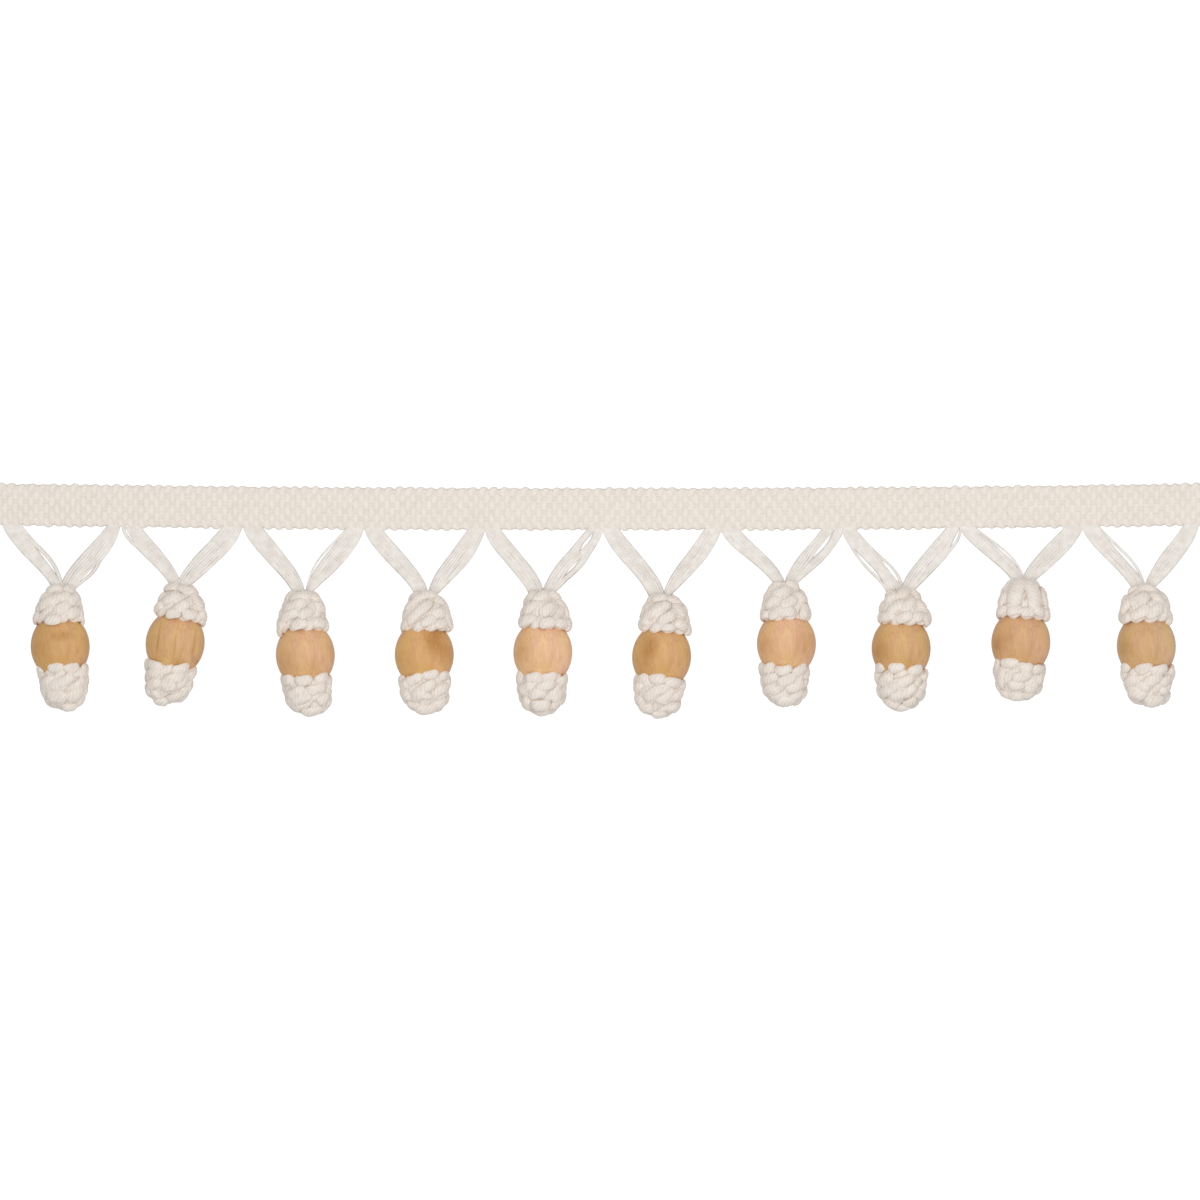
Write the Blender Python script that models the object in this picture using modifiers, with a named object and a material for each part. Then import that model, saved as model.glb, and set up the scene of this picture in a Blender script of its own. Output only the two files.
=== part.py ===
"""Wooden ball fringe: a length of cotton trimming that lies face up on a table.

A woven header band runs along X, with its back on the table and its middle at the origin. Ten drops
lie below it, towards -Y. Each drop is a wooden bead on a thick cotton cord, which is plaited into a
cap knot above the bead and an end knot below it. Two skeins of fine thread, one to each side, join the
cap knot to the band's lower edge in a V.

Lengths are in millimetres in this file, and MM turns them into metres.
"""

import math
from typing import NamedTuple

import bmesh
import bpy
from mathutils import Matrix, Vector

MM = 0.001
MERGE_DISTANCE = 0.01

# Header band
DROP_COUNT = 10
PITCH = 36.6
BAND_OVERHANG = 2.0
BAND_LENGTH = DROP_COUNT * PITCH + 2 * BAND_OVERHANG
BAND_WIDTH = 12.8
BAND_THICKNESS = 2.0
BAND_BOW = 1.45
SCALLOP_PITCH = 3.2
SCALLOP_DEPTH = 0.5

# Wooden bead
BEAD_RADIUS = 9.0
BEAD_HALF_LENGTH = 8.8
BEAD_BARREL_SEMI_AXIS = 10.2
BEAD_BORE_RADIUS = 2.0
BEAD_FLAT_HALF_LENGTH = 1.2
BEAD_RING_HEIGHTS = (8.8, 7.4, 5.2, 1.2, -1.2, -5.2, -7.4, -8.8)
ROUND_SIDES = 16
COLUMN = 2 * math.pi / ROUND_SIDES

# Plaited cord
SEAT_GAP = 0.3
STEM_RADIUS = 1.6
CUP_RADIUS = 4.85
LIP_HEIGHT = 6.2
LIP_RADIUS = 7.5
LIP_NOTCH = 1.4
LOBE_DEPTH = 0.95
CAP_TOP_SHARE = 0.47
END_TIP_SHARE = 0.22
TIP_RING_SHARE = 0.985
NECK_SAG = 3.6
TIP_SAG = 3.8

# Skeins of thread
STRANDS_PER_SKEIN = 7
STRAND_RADIUS = 0.25
STRAND_SIDES = 3
STRAND_STEPS = 5
STRAND_LAYER = 0.3
SKEIN_ROOT_OFFSET = 2.55
SKEIN_ROOT_WIDTH = 4.6
SKEIN_FOOT_OFFSET = 1.88
SKEIN_FOOT_WIDTH = 3.4
BINDING_DEPTH = 1.2
BINDING_THICKNESS = 1.3
BEND_REACH = 0.4
OUTER_LEAVING = 0.4
OUTER_ARRIVING = 1.15
INNER_LEAVING = 1.05
INNER_ARRIVING = 0.4


class Drop(NamedTuple):
    """Where one drop lies. Sideways places are from the middle of its pitch, and depths from the origin."""

    neck_x: float
    neck_depth: float
    bead_x: float
    bead_depth: float
    tip_x: float
    tip_depth: float
    cap_radius: float
    end_radius: float


#    neck_x neck_depth bead_x bead_depth tip_x tip_depth cap_radius end_radius
DROPS = (
    Drop(0.15, 22.6, -0.18, 41.9, 1.68, 62.2, 7.8, 8.1),
    Drop(-0.15, 22.3, -1.77, 40.9, -5.64, 60.1, 8.1, 8.0),
    Drop(0.46, 24.1, 1.28, 44.5, 2.59, 63.4, 7.8, 7.9),
    Drop(1.37, 24.7, 0.92, 44.4, 1.98, 63.1, 8.0, 8.0),
    Drop(0.46, 24.1, 0.43, 43.7, -0.15, 63.4, 8.3, 7.9),
    Drop(0.76, 25.3, 0.00, 45.0, -1.98, 64.1, 8.0, 8.0),
    Drop(0.76, 21.7, 1.43, 41.1, 1.37, 61.0, 7.8, 7.9),
    Drop(-0.15, 23.8, -0.24, 42.5, 0.15, 61.9, 8.2, 8.2),
    Drop(0.76, 20.7, -0.37, 40.7, -1.07, 59.2, 8.2, 8.0),
    Drop(1.10, 22.9, 1.25, 41.8, 2.90, 61.0, 8.2, 8.5),
)


class Row(NamedTuple):
    """One row of plaited lobes: its share of the way along the knot, its crest and its turn in columns."""

    share: float
    crest: float
    turn: int


#    share crest turn
CAP_ROWS = (
    Row(0.92, 0.54, 4),
    Row(0.71, 0.71, 3),
    Row(0.49, 0.86, 2),
    Row(0.28, 0.95, 1),
    Row(0.09, 1.00, 0),
)
END_ROWS = (
    Row(0.10, 1.00, 0),
    Row(0.31, 0.94, 1),
    Row(0.52, 0.87, 0),
    Row(0.74, 0.72, 1),
    Row(0.91, 0.44, 0),
)


def clear_scene() -> None:
    """Removes every object that the file opened with."""
    for obj in list(bpy.data.objects):
        bpy.data.objects.remove(obj)


def new_collection(name: str) -> bpy.types.Collection:
    """A collection in the scene."""
    collection = bpy.data.collections.new(name)
    bpy.context.scene.collection.children.link(collection)
    return collection


def new_material(name: str, colour: tuple[float, float, float], roughness: float) -> bpy.types.Material:
    """A plain surface of one colour, none of it metal."""
    material = bpy.data.materials.new(name)
    material.use_nodes = True
    surface = material.node_tree.nodes["Principled BSDF"]
    surface.inputs["Base Color"].default_value = (*colour, 1.0)
    surface.inputs["Roughness"].default_value = roughness
    surface.inputs["Metallic"].default_value = 0.0
    return material


def add_object(
    name: str, data: bpy.types.ID, material: bpy.types.Material, collection: bpy.types.Collection
) -> bpy.types.Object:
    """An object of one material, in a collection."""
    data.materials.append(material)
    obj = bpy.data.objects.new(name, data)
    collection.objects.link(obj)
    return obj


def junction_x(index: int) -> float:
    """Where two neighbouring skeins leave the band side by side."""
    return (index - DROP_COUNT / 2) * PITCH


def band_middle(x: float) -> float:
    """The band's middle line, which bows upwards a little towards both ends."""
    return BAND_BOW * (2 * x / BAND_LENGTH) ** 2


def band_outline() -> list[tuple[float, float]]:
    """Points round the band, with a crest and a dip for each turn of the weft at either edge."""
    scallops = round(BAND_LENGTH / SCALLOP_PITCH)
    steps = 2 * scallops
    edges = []
    for side in (-1, 1):
        edge = []
        for step in range(steps + 1):
            x = BAND_LENGTH * (step / steps - 0.5)
            crest = step % 2 * SCALLOP_DEPTH
            reach = BAND_WIDTH / 2 - SCALLOP_DEPTH / 2 + crest
            edge.append((x, band_middle(x) + side * reach))
        edges.append(edge)
    lower, upper = edges
    return lower + upper[::-1]


def make_band(material: bpy.types.Material, collection: bpy.types.Collection) -> bpy.types.Object:
    """The woven header band, flat on the table."""
    curve = bpy.data.curves.new("header_band", "CURVE")
    curve.dimensions = "2D"
    curve.fill_mode = "BOTH"
    curve.extrude = BAND_THICKNESS / 2 * MM
    outline = band_outline()
    spline = curve.splines.new("POLY")
    spline.points.add(len(outline) - 1)
    for point, (x, y) in zip(spline.points, outline):
        point.co = (x * MM, y * MM, 0.0, 1.0)
    spline.use_cyclic_u = True
    band = add_object("header_band", curve, material, collection)
    band.location.z = BAND_THICKNESS / 2 * MM
    return band


def bead_radius_at(height: float) -> float:
    """The bead's outer radius at a height along its bore."""
    return BEAD_RADIUS * math.sqrt(1 - (height / BEAD_BARREL_SEMI_AXIS) ** 2)


def bead_rest_height() -> float:
    """How high the bead's centre lies when one of its facets is flat on the table."""
    return bead_radius_at(BEAD_FLAT_HALF_LENGTH) * math.cos(COLUMN / 2)


class DropFrame:
    """The lie of one drop, from its bead's centre: local +Z runs up the cord, and local +Y points down."""

    def __init__(self, number: int, drop: Drop, collection: bpy.types.Collection) -> None:
        middle_x = (junction_x(number - 1) + junction_x(number)) / 2
        neck = Vector((middle_x + drop.neck_x, -drop.neck_depth))
        bead = Vector((middle_x + drop.bead_x, -drop.bead_depth))
        tip = Vector((middle_x + drop.tip_x, -drop.tip_depth))
        upwards = (neck - tip).normalized()
        sideways = Vector((upwards.y, -upwards.x))
        self.number = number
        self.drop = drop
        self.neck = Vector(((neck - bead).dot(sideways), NECK_SAG, (neck - bead).dot(upwards)))
        self.tip = Vector(((tip - bead).dot(sideways), TIP_SAG, (tip - bead).dot(upwards)))
        self.empty = bpy.data.objects.new(f"drop_{number:02d}", None)
        self.empty.empty_display_size = BEAD_RADIUS * MM
        self.empty.location = (bead.x * MM, bead.y * MM, bead_rest_height() * MM)
        self.empty.rotation_euler = (-math.pi / 2, 0.0, math.atan2(sideways.y, sideways.x))
        collection.objects.link(self.empty)
        bpy.context.view_layer.update()

    def to_world(self, point: Vector) -> Vector:
        """A local point as a point of the part."""
        return self.empty.matrix_world @ (point * MM) / MM

    def cord_centre(self, height: float) -> Vector:
        """The middle of the cord at a height. Outside the bead it bends towards the neck and the tip."""
        end = self.neck if height > 0 else self.tip
        beyond = max(abs(height) - BEAD_HALF_LENGTH, 0.0)
        bend = (beyond / (abs(end.z) - BEAD_HALF_LENGTH)) ** 2
        return Vector((end.x * bend, end.y * bend, height))


def make_bead(
    frame: DropFrame, material: bpy.types.Material, collection: bpy.types.Collection
) -> bpy.types.Object:
    """A turned wooden bead, bored through, with one facet down."""
    outer = [(bead_radius_at(height), height) for height in BEAD_RING_HEIGHTS]
    bore = [(BEAD_BORE_RADIUS, -BEAD_HALF_LENGTH), (BEAD_BORE_RADIUS, BEAD_HALF_LENGTH)]
    profile = outer + bore
    across, aside = math.cos(COLUMN / 2) * MM, math.sin(COLUMN / 2) * MM
    points = [(radius * across, radius * aside, height * MM) for radius, height in profile]
    edges = [(index, (index + 1) % len(points)) for index in range(len(points))]
    mesh = bpy.data.meshes.new("bead")
    mesh.from_pydata(points, edges, [])
    bead = add_object(f"bead_{frame.number:02d}", mesh, material, collection)
    turned = bead.modifiers.new("Turned", "SCREW")
    turned.steps = turned.render_steps = ROUND_SIDES
    turned.use_merge_vertices = True
    turned.merge_threshold = MERGE_DISTANCE * MM
    bead.parent = frame.empty
    return bead


def ring(
    centre: Vector, radius: float, dip: float = 0.0, turn: int = 0, notch: float = 0.0
) -> list[Vector]:
    """Points round the cord. Each second one is drawn in by the dip and moved along by the notch."""
    points = []
    for side in range(ROUND_SIDES):
        angle = (side + turn) * COLUMN
        drawn_in = side % 2
        reach = radius - dip * drawn_in
        offset = Vector((reach * math.cos(angle), reach * math.sin(angle), notch * drawn_in))
        points.append(centre + offset)
    return points


def knot_rings(frame: DropFrame, rows: tuple[Row, ...], direction: int) -> list[list[Vector]]:
    """The lobed rings of one knot. Direction is 1 for the cap knot and -1 for the end knot."""
    reach = abs(frame.neck.z if direction > 0 else frame.tip.z)
    crest = frame.drop.cap_radius if direction > 0 else frame.drop.end_radius
    rings = []
    for row in rows:
        height = direction * (LIP_HEIGHT + row.share * (reach - LIP_HEIGHT))
        rings.append(ring(frame.cord_centre(height), row.crest * crest, LOBE_DEPTH, row.turn))
    return rings


def loft(name: str, rings: list[list[Vector]], first_end: Vector, last_end: Vector) -> bpy.types.Mesh:
    """One closed skin over rings that run downwards, with a point in the middle of either end."""
    shape = bmesh.new()
    loops = [[shape.verts.new(point * MM) for point in points] for points in rings]
    for upper, lower in zip(loops, loops[1:]):
        for side in range(ROUND_SIDES):
            after = (side + 1) % ROUND_SIDES
            shape.faces.new((upper[side], lower[side], lower[after], upper[after]))
    top = shape.verts.new(first_end * MM)
    bottom = shape.verts.new(last_end * MM)
    for side in range(ROUND_SIDES):
        after = (side + 1) % ROUND_SIDES
        shape.faces.new((top, loops[0][side], loops[0][after]))
        shape.faces.new((bottom, loops[-1][after], loops[-1][side]))
    mesh = bpy.data.meshes.new(name)
    shape.to_mesh(mesh)
    shape.free()
    return mesh


def make_plaited_cord(
    frame: DropFrame, material: bpy.types.Material, collection: bpy.types.Collection
) -> bpy.types.Object:
    """The cord of one drop: its cap knot, its straight run through the bead and its end knot."""
    seat = Vector((0.0, 0.0, BEAD_HALF_LENGTH + SEAT_GAP))
    lip = Vector((0.0, 0.0, LIP_HEIGHT))
    tip_centre = frame.cord_centre(TIP_RING_SHARE * frame.tip.z)
    rings = [
        ring(frame.neck, CAP_TOP_SHARE * frame.drop.cap_radius, turn=CAP_ROWS[0].turn),
        *knot_rings(frame, CAP_ROWS, 1),
        ring(lip, LIP_RADIUS, LOBE_DEPTH, notch=LIP_NOTCH),
        ring(seat, CUP_RADIUS),
        ring(seat, STEM_RADIUS),
        ring(-seat, STEM_RADIUS),
        ring(-seat, CUP_RADIUS),
        ring(-lip, LIP_RADIUS, LOBE_DEPTH, notch=-LIP_NOTCH),
        *knot_rings(frame, END_ROWS, -1),
        ring(tip_centre, END_TIP_SHARE * frame.drop.end_radius),
    ]
    name = f"plaited_cord_{frame.number:02d}"
    cord = add_object(name, loft(name, rings, frame.neck, frame.tip), material, collection)
    cord.parent = frame.empty
    return cord


def bezier(points: tuple[Vector, Vector, Vector, Vector], share: float) -> Vector:
    """A point of a cubic curve."""
    rest = 1 - share
    weights = (rest**3, 3 * rest**2 * share, 3 * rest * share**2, share**3)
    return sum((point * weight for point, weight in zip(points, weights)), Vector())


def skein_edge(root: Vector, foot: Vector, leaving: float, arriving: float) -> tuple[Vector, ...]:
    """The curve of one edge of a skein, from its sideways run for each unit of depth at either end."""
    depth = (root.y - foot.y) * BEND_REACH
    rise = foot.z - root.z
    after_root = root + Vector((leaving * depth, -depth, rise * BEND_REACH / 2))
    before_foot = foot - Vector((arriving * depth, -depth, rise * BEND_REACH))
    return root, after_root, before_foot, foot


def strand_profile(collection: bpy.types.Collection) -> bpy.types.Object:
    """The three-sided section that every strand is swept from."""
    curve = bpy.data.curves.new("strand_profile", "CURVE")
    curve.dimensions = "2D"
    spline = curve.splines.new("POLY")
    spline.points.add(STRAND_SIDES - 1)
    for index, point in enumerate(spline.points):
        angle = 2 * math.pi * index / STRAND_SIDES
        point.co = (STRAND_RADIUS * math.cos(angle) * MM, STRAND_RADIUS * math.sin(angle) * MM, 0.0, 1.0)
    spline.use_cyclic_u = True
    profile = bpy.data.objects.new("strand_profile", curve)
    profile.hide_render = True
    collection.objects.link(profile)
    return profile


def strands_mesh(name: str, paths: list[list[Vector]], profile: bpy.types.Object) -> bpy.types.Mesh:
    """Strands along the paths, each a closed three-sided tube, as one mesh."""
    curve = bpy.data.curves.new(name, "CURVE")
    curve.dimensions = "3D"
    curve.bevel_mode = "OBJECT"
    curve.bevel_object = profile
    curve.use_fill_caps = True
    for path in paths:
        spline = curve.splines.new("POLY")
        spline.points.add(len(path) - 1)
        for point, place in zip(spline.points, path):
            point.co = (*(place * MM), 1.0)
    swept = bpy.data.objects.new(name, curve)
    bpy.context.scene.collection.objects.link(swept)
    graph = bpy.context.evaluated_depsgraph_get()
    mesh = bpy.data.meshes.new_from_object(swept.evaluated_get(graph))
    bpy.data.objects.remove(swept)
    shape = bmesh.new()
    shape.from_mesh(mesh)
    bmesh.ops.remove_doubles(shape, verts=shape.verts, dist=MERGE_DISTANCE * MM)
    bmesh.ops.recalc_face_normals(shape, faces=shape.faces)
    shape.to_mesh(mesh)
    shape.free()
    return mesh


def add_binding(shape: bmesh.types.BMesh, centre: Vector, turn: float, width: float) -> None:
    """A flat block that gathers a skein's threads."""
    size = Matrix.Diagonal((width * MM, BINDING_DEPTH * MM, BINDING_THICKNESS * MM, 1.0))
    place = Matrix.Translation(centre * MM) @ Matrix.Rotation(turn, 4, "Z")
    bmesh.ops.create_cube(shape, size=1.0, matrix=place @ size)


def make_skein(
    frame: DropFrame,
    side: int,
    profile: bpy.types.Object,
    material: bpy.types.Material,
    collection: bpy.types.Collection,
    helpers: bpy.types.Collection,
) -> bpy.types.Object:
    """One skein of a drop's V. Side is -1 for the left skein and 1 for the right one."""
    junction = junction_x(frame.number - 1 if side < 0 else frame.number)
    root_x = junction - side * SKEIN_ROOT_OFFSET
    root_y = band_middle(root_x) - (BAND_WIDTH + SCALLOP_DEPTH + BINDING_DEPTH) / 2 - SEAT_GAP
    root = Vector((root_x, root_y, BAND_THICKNESS / 2))
    above_neck = Vector((side * SKEIN_FOOT_OFFSET, 0.0, SEAT_GAP + BINDING_DEPTH / 2))
    foot = frame.to_world(frame.neck + above_neck)
    across = frame.empty.matrix_world.to_3x3().col[0]
    half_root = Vector((side * SKEIN_ROOT_WIDTH / 2, 0.0, 0.0))
    half_foot = across * (side * SKEIN_FOOT_WIDTH / 2)
    outer = skein_edge(root + half_root, foot + half_foot, -side * OUTER_LEAVING, -side * OUTER_ARRIVING)
    inner = skein_edge(root - half_root, foot - half_foot, -side * INNER_LEAVING, -side * INNER_ARRIVING)
    paths = []
    for strand in range(STRANDS_PER_SKEIN):
        spread = (strand + 0.5) / STRANDS_PER_SKEIN
        layer = Vector((0.0, 0.0, STRAND_LAYER if strand % 2 else -STRAND_LAYER))
        path = []
        for step in range(STRAND_STEPS + 1):
            share = step / STRAND_STEPS
            path.append(bezier(outer, share).lerp(bezier(inner, share), spread) + layer)
        paths.append(path)
    name = f"skein_{'left' if side < 0 else 'right'}_{frame.number:02d}"
    strands = bpy.data.objects.new(f"{name}_strands", strands_mesh(f"{name}_strands", paths, profile))
    strands.hide_render = True
    strands.display_type = "WIRE"
    helpers.objects.link(strands)
    shape = bmesh.new()
    add_binding(shape, root, 0.0, SKEIN_ROOT_WIDTH)
    add_binding(shape, foot, frame.empty.rotation_euler.z, SKEIN_FOOT_WIDTH)
    mesh = bpy.data.meshes.new(name)
    shape.to_mesh(mesh)
    shape.free()
    skein = add_object(name, mesh, material, collection)
    joined = skein.modifiers.new("Strands", "BOOLEAN")
    joined.operation = "UNION"
    joined.solver = "EXACT"
    joined.object = strands
    return skein


def main() -> None:
    """Builds the whole length of fringe."""
    clear_scene()
    fringe = new_collection("wooden_ball_fringe")
    helpers = new_collection("helpers")
    webbing = new_material("cream_webbing", (0.79, 0.73, 0.66), 0.95)
    thread = new_material("cream_thread", (0.82, 0.79, 0.74), 0.85)
    cotton = new_material("cream_cord", (0.77, 0.70, 0.62), 0.95)
    wood = new_material("pale_wood", (0.62, 0.38, 0.17), 0.5)
    make_band(webbing, fringe)
    profile = strand_profile(helpers)
    for number, drop in enumerate(DROPS, start=1):
        frame = DropFrame(number, drop, fringe)
        make_bead(frame, wood, fringe)
        make_plaited_cord(frame, cotton, fringe)
        for side in (-1, 1):
            make_skein(frame, side, profile, thread, fringe, helpers)


main()
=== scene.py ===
"""The looks of a wooden ball fringe that lies face up on a pale table.

A woven cotton header band runs along X. Ten drops lie below it, towards -Y: each is a turned wooden
bead between a cap knot and an end knot, both plaited from one thick soft cord. Two skeins of fine
thread join every cap knot to the band's lower edge in a V.

Lengths are in millimetres in this file, and MM turns them into metres.
"""

import logging
import math
from dataclasses import dataclass
from enum import Enum
from functools import cache
from typing import Any, Sequence

import bpy
import numpy as np
from mathutils import Matrix, Vector


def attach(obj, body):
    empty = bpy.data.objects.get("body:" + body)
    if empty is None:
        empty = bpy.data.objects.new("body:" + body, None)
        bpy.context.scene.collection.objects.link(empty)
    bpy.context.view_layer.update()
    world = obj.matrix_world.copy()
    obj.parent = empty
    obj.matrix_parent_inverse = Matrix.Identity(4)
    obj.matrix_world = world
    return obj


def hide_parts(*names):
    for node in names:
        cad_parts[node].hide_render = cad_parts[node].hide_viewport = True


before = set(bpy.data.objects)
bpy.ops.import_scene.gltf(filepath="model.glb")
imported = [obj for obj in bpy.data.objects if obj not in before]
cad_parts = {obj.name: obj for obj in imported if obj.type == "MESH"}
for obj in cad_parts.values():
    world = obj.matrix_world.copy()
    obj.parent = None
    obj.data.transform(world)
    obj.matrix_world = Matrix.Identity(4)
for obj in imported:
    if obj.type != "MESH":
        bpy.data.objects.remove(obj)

MM = 0.001
TURN = 2 * math.pi
LOG = logging.getLogger("wooden_ball_fringe")

Triple = tuple[float, float, float]
Colour = Triple
Range = tuple[float, float]
Waves = tuple[int, ...]
Sizes = np.ndarray | float

WHITE: Colour = (1.0, 1.0, 1.0)


class Side(Enum):
    """Which leg of a drop's V a skein is."""

    LEFT = -1
    RIGHT = 1


class KnotKind(Enum):
    """Which side of its bead a knot is on: a cap knot is above it, and an end knot below."""

    CAP = 1
    END = -1


def linear(red: int, green: int, blue: int) -> Colour:
    """A colour read off a screen, as light, by the standard that screens follow.

    Args:
        red: The red of the colour, from 0 to 255.
        green: The green of the colour, from 0 to 255.
        blue: The blue of the colour, from 0 to 255.

    Returns:
        The three parts of the colour in linear light.
    """
    parts = (part / 255 for part in (red, green, blue))
    return tuple(part / 12.92 if part < 0.04045 else ((part + 0.055) / 1.055) ** 2.4 for part in parts)


class Value:
    """A number that changes over a surface. Sums on it add the nodes that work them out."""

    def __init__(self, shader: "Shader", socket: bpy.types.NodeSocket) -> None:
        """Wraps one output socket of a shader's tree."""
        self.shader = shader
        self.socket = socket

    def worked(self, operation: str, *others: Any, first: bool = True) -> "Value":
        """One Math node on this value.

        Args:
            operation: Blender's name of the sum.
            others: The other numbers or values in it.
            first: Whether this value comes before the others.

        Returns:
            The result.
        """
        terms = (self, *others) if first else (*others, self)
        return self.shader.node("ShaderNodeMath", {"operation": operation}, dict(enumerate(terms)), 0)

    def __add__(self, other: Any) -> "Value":
        """This value plus another."""
        return self.worked("ADD", other)

    def __radd__(self, other: Any) -> "Value":
        """A number plus this value."""
        return self.worked("ADD", other, first=False)

    def __sub__(self, other: Any) -> "Value":
        """This value less another."""
        return self.worked("SUBTRACT", other)

    def __rsub__(self, other: Any) -> "Value":
        """A number less this value."""
        return self.worked("SUBTRACT", other, first=False)

    def __mul__(self, other: Any) -> "Value":
        """This value times another."""
        return self.worked("MULTIPLY", other)

    def __rmul__(self, other: Any) -> "Value":
        """A number times this value."""
        return self.worked("MULTIPLY", other, first=False)

    def __pow__(self, other: Any) -> "Value":
        """This value to a power."""
        return self.worked("POWER", other)

    def __rpow__(self, other: Any) -> "Value":
        """A number to the power of this value."""
        return self.worked("POWER", other, first=False)

    def __abs__(self) -> "Value":
        """This value without its sign."""
        return self.worked("ABSOLUTE")

    def sine(self) -> "Value":
        """The sine of this value."""
        return self.worked("SINE")


class Shader:
    """A material that is put together node by node."""

    def __init__(self, name: str) -> None:
        """Starts a material with an empty tree."""
        self.material = bpy.data.materials.new(name)
        self.material.use_nodes = True
        self.tree = self.material.node_tree
        self.tree.nodes.clear()

    def node(self, kind: str, settings: dict[str, Any], inputs: dict[Any, Any], output: Any) -> Value:
        """Adds one node.

        Args:
            kind: Blender's name of the node.
            settings: What is set on the node itself, before its sockets.
            inputs: The number, colour or value of each socket, by name or place.
            output: The name or place of the wanted output.

        Returns:
            The wanted output.
        """
        made = self.tree.nodes.new(kind)
        for name, setting in settings.items():
            setattr(made, name, setting)
        for name, content in inputs.items():
            if isinstance(content, Value):
                self.tree.links.new(content.socket, made.inputs[name])
            else:
                made.inputs[name].default_value = content
        return Value(self, made.outputs[output])

    def vector(self, operation: str, *terms: Any, output: str = "Vector") -> Value:
        """One Vector Math node on places."""
        return self.node("ShaderNodeVectorMath", {"operation": operation}, dict(enumerate(terms)), output)

    def mix(self, share: Value, first: Any, second: Any) -> Value:
        """One colour where the share is 0, and the other where it is 1."""
        first, second = (c if isinstance(c, Value) else (*c, 1.0) for c in (first, second))
        settings = {"data_type": "RGBA", "clamp_factor": True}
        return self.node("ShaderNodeMix", settings, {0: share, 6: first, 7: second}, 2)

    def spread(self, value: Value, ends: Range) -> Value:
        """The value's way from a low to a high end, softly held between 0 and 1."""
        inputs = {"Value": value, "From Min": ends[0], "From Max": ends[1]}
        return self.node("ShaderNodeMapRange", {"interpolation_type": "SMOOTHSTEP"}, inputs, "Result")

    def place(self, centre: Sequence[float], turn: float, scale: Sequence[float]) -> Value:
        """Places on the piece, in the pattern's own lie.

        Args:
            centre: The pattern's origin, in metres.
            turn: How far the pattern is turned about the vertical.
            scale: How much it is drawn out along each of its axes.

        Returns:
            The coordinates.
        """
        centred = self.vector("SUBTRACT", self.node("ShaderNodeTexCoord", {}, {}, "Object"), tuple(centre))
        lie = {"Vector": centred, "Rotation": (0.0, 0.0, -turn)}
        turned = self.node("ShaderNodeMapping", {"vector_type": "POINT"}, lie, "Vector")
        return self.vector("MULTIPLY", turned, tuple(scale))

    def noise(self, where: Value, scale: float, detail: float) -> Value:
        """Soft cloudy noise, from 0 to 1."""
        inputs = {"Vector": where, "Scale": scale, "Detail": detail}
        return self.node("ShaderNodeTexNoise", {}, inputs, "Fac")

    def yarn_map(self) -> tuple[Value, Value, Value]:
        """The piece's own map, whole, and its two parts: metres along the yarn and the share round it."""
        where = self.node("ShaderNodeUVMap", {"uv_map": YarnMesh.MAP}, {}, "UV")
        along, around = (self.node("ShaderNodeSeparateXYZ", {}, {"Vector": where}, part) for part in "XY")
        return where, along, around

    def finish(
        self, colour: Value, height: Value, depth: float, constants: dict[str, Any]
    ) -> bpy.types.Material:
        """Closes the material with its surface.

        Args:
            colour: The colour over the surface.
            height: The relief over the surface, from 0 to 1.
            depth: How deep the relief is.
            constants: The surface's plain numbers, by the name of their socket.

        Returns:
            The material.
        """
        raised = self.node("ShaderNodeBump", {}, {"Height": height, "Distance": depth * MM}, "Normal")
        return self.surface({"Base Color": colour, "Normal": raised, **constants})

    def surface(self, inputs: dict[str, Any]) -> bpy.types.Material:
        """Gives the material its one surface, from the contents of the surface's sockets."""
        made = self.node("ShaderNodeBsdfPrincipled", {}, inputs, "BSDF")
        output = self.tree.nodes.new("ShaderNodeOutputMaterial")
        self.tree.links.new(made.socket, output.inputs["Surface"])
        return self.material


@dataclass(frozen=True)
class CottonFinish:
    """Soft matt cotton yarn, twisted from plies."""

    name: str
    pale: Colour
    shaded: Colour
    plies: int
    ply_pitch: float
    ply_depth: float
    fibre_share: float = 0.6
    wobble: float = 0.0
    fibre_scale: Triple = (600.0, 26.0, 1.0)
    cloud_scale: float = 420.0
    fullness: float = 0.6
    relief_tone: float = 0.4
    tone_ends: Range = (0.15, 0.8)
    roughness: float = 0.95
    gloss: float = 0.2
    sheen: float = 0.35
    sheen_roughness: float = 0.4

    @cache
    def dress(self) -> bpy.types.Material:
        """Makes the material, once."""
        shader = Shader(self.name)
        where, along, around = shader.yarn_map()
        cloud = shader.noise(shader.place((0, 0, 0), 0.0, (1, 1, 1)), self.cloud_scale, detail=3.0)
        twist = around - along * (1 / (self.ply_pitch * MM)) + cloud * self.wobble
        ply = abs((twist * (self.plies * math.pi)).sine()) ** self.fullness
        fibre = shader.noise(shader.vector("MULTIPLY", where, self.fibre_scale), 1.0, detail=2.0)
        relief = ply * (1 - self.fibre_share) + (fibre + cloud) * (self.fibre_share / 2)
        # Where the ply relief is low, in the grooves between the plies, the colour goes towards the shaded
        # one: this is painted shade. The fibre and cloud noise in it vary the tone at random.
        tone = shader.spread(relief * self.relief_tone + cloud * (1 - self.relief_tone), self.tone_ends)
        constants = {
            "Roughness": self.roughness,
            "Specular IOR Level": self.gloss,
            "Sheen Weight": self.sheen,
            "Sheen Roughness": self.sheen_roughness,
        }
        return shader.finish(shader.mix(tone, self.shaded, self.pale), relief, self.ply_depth, constants)


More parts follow.
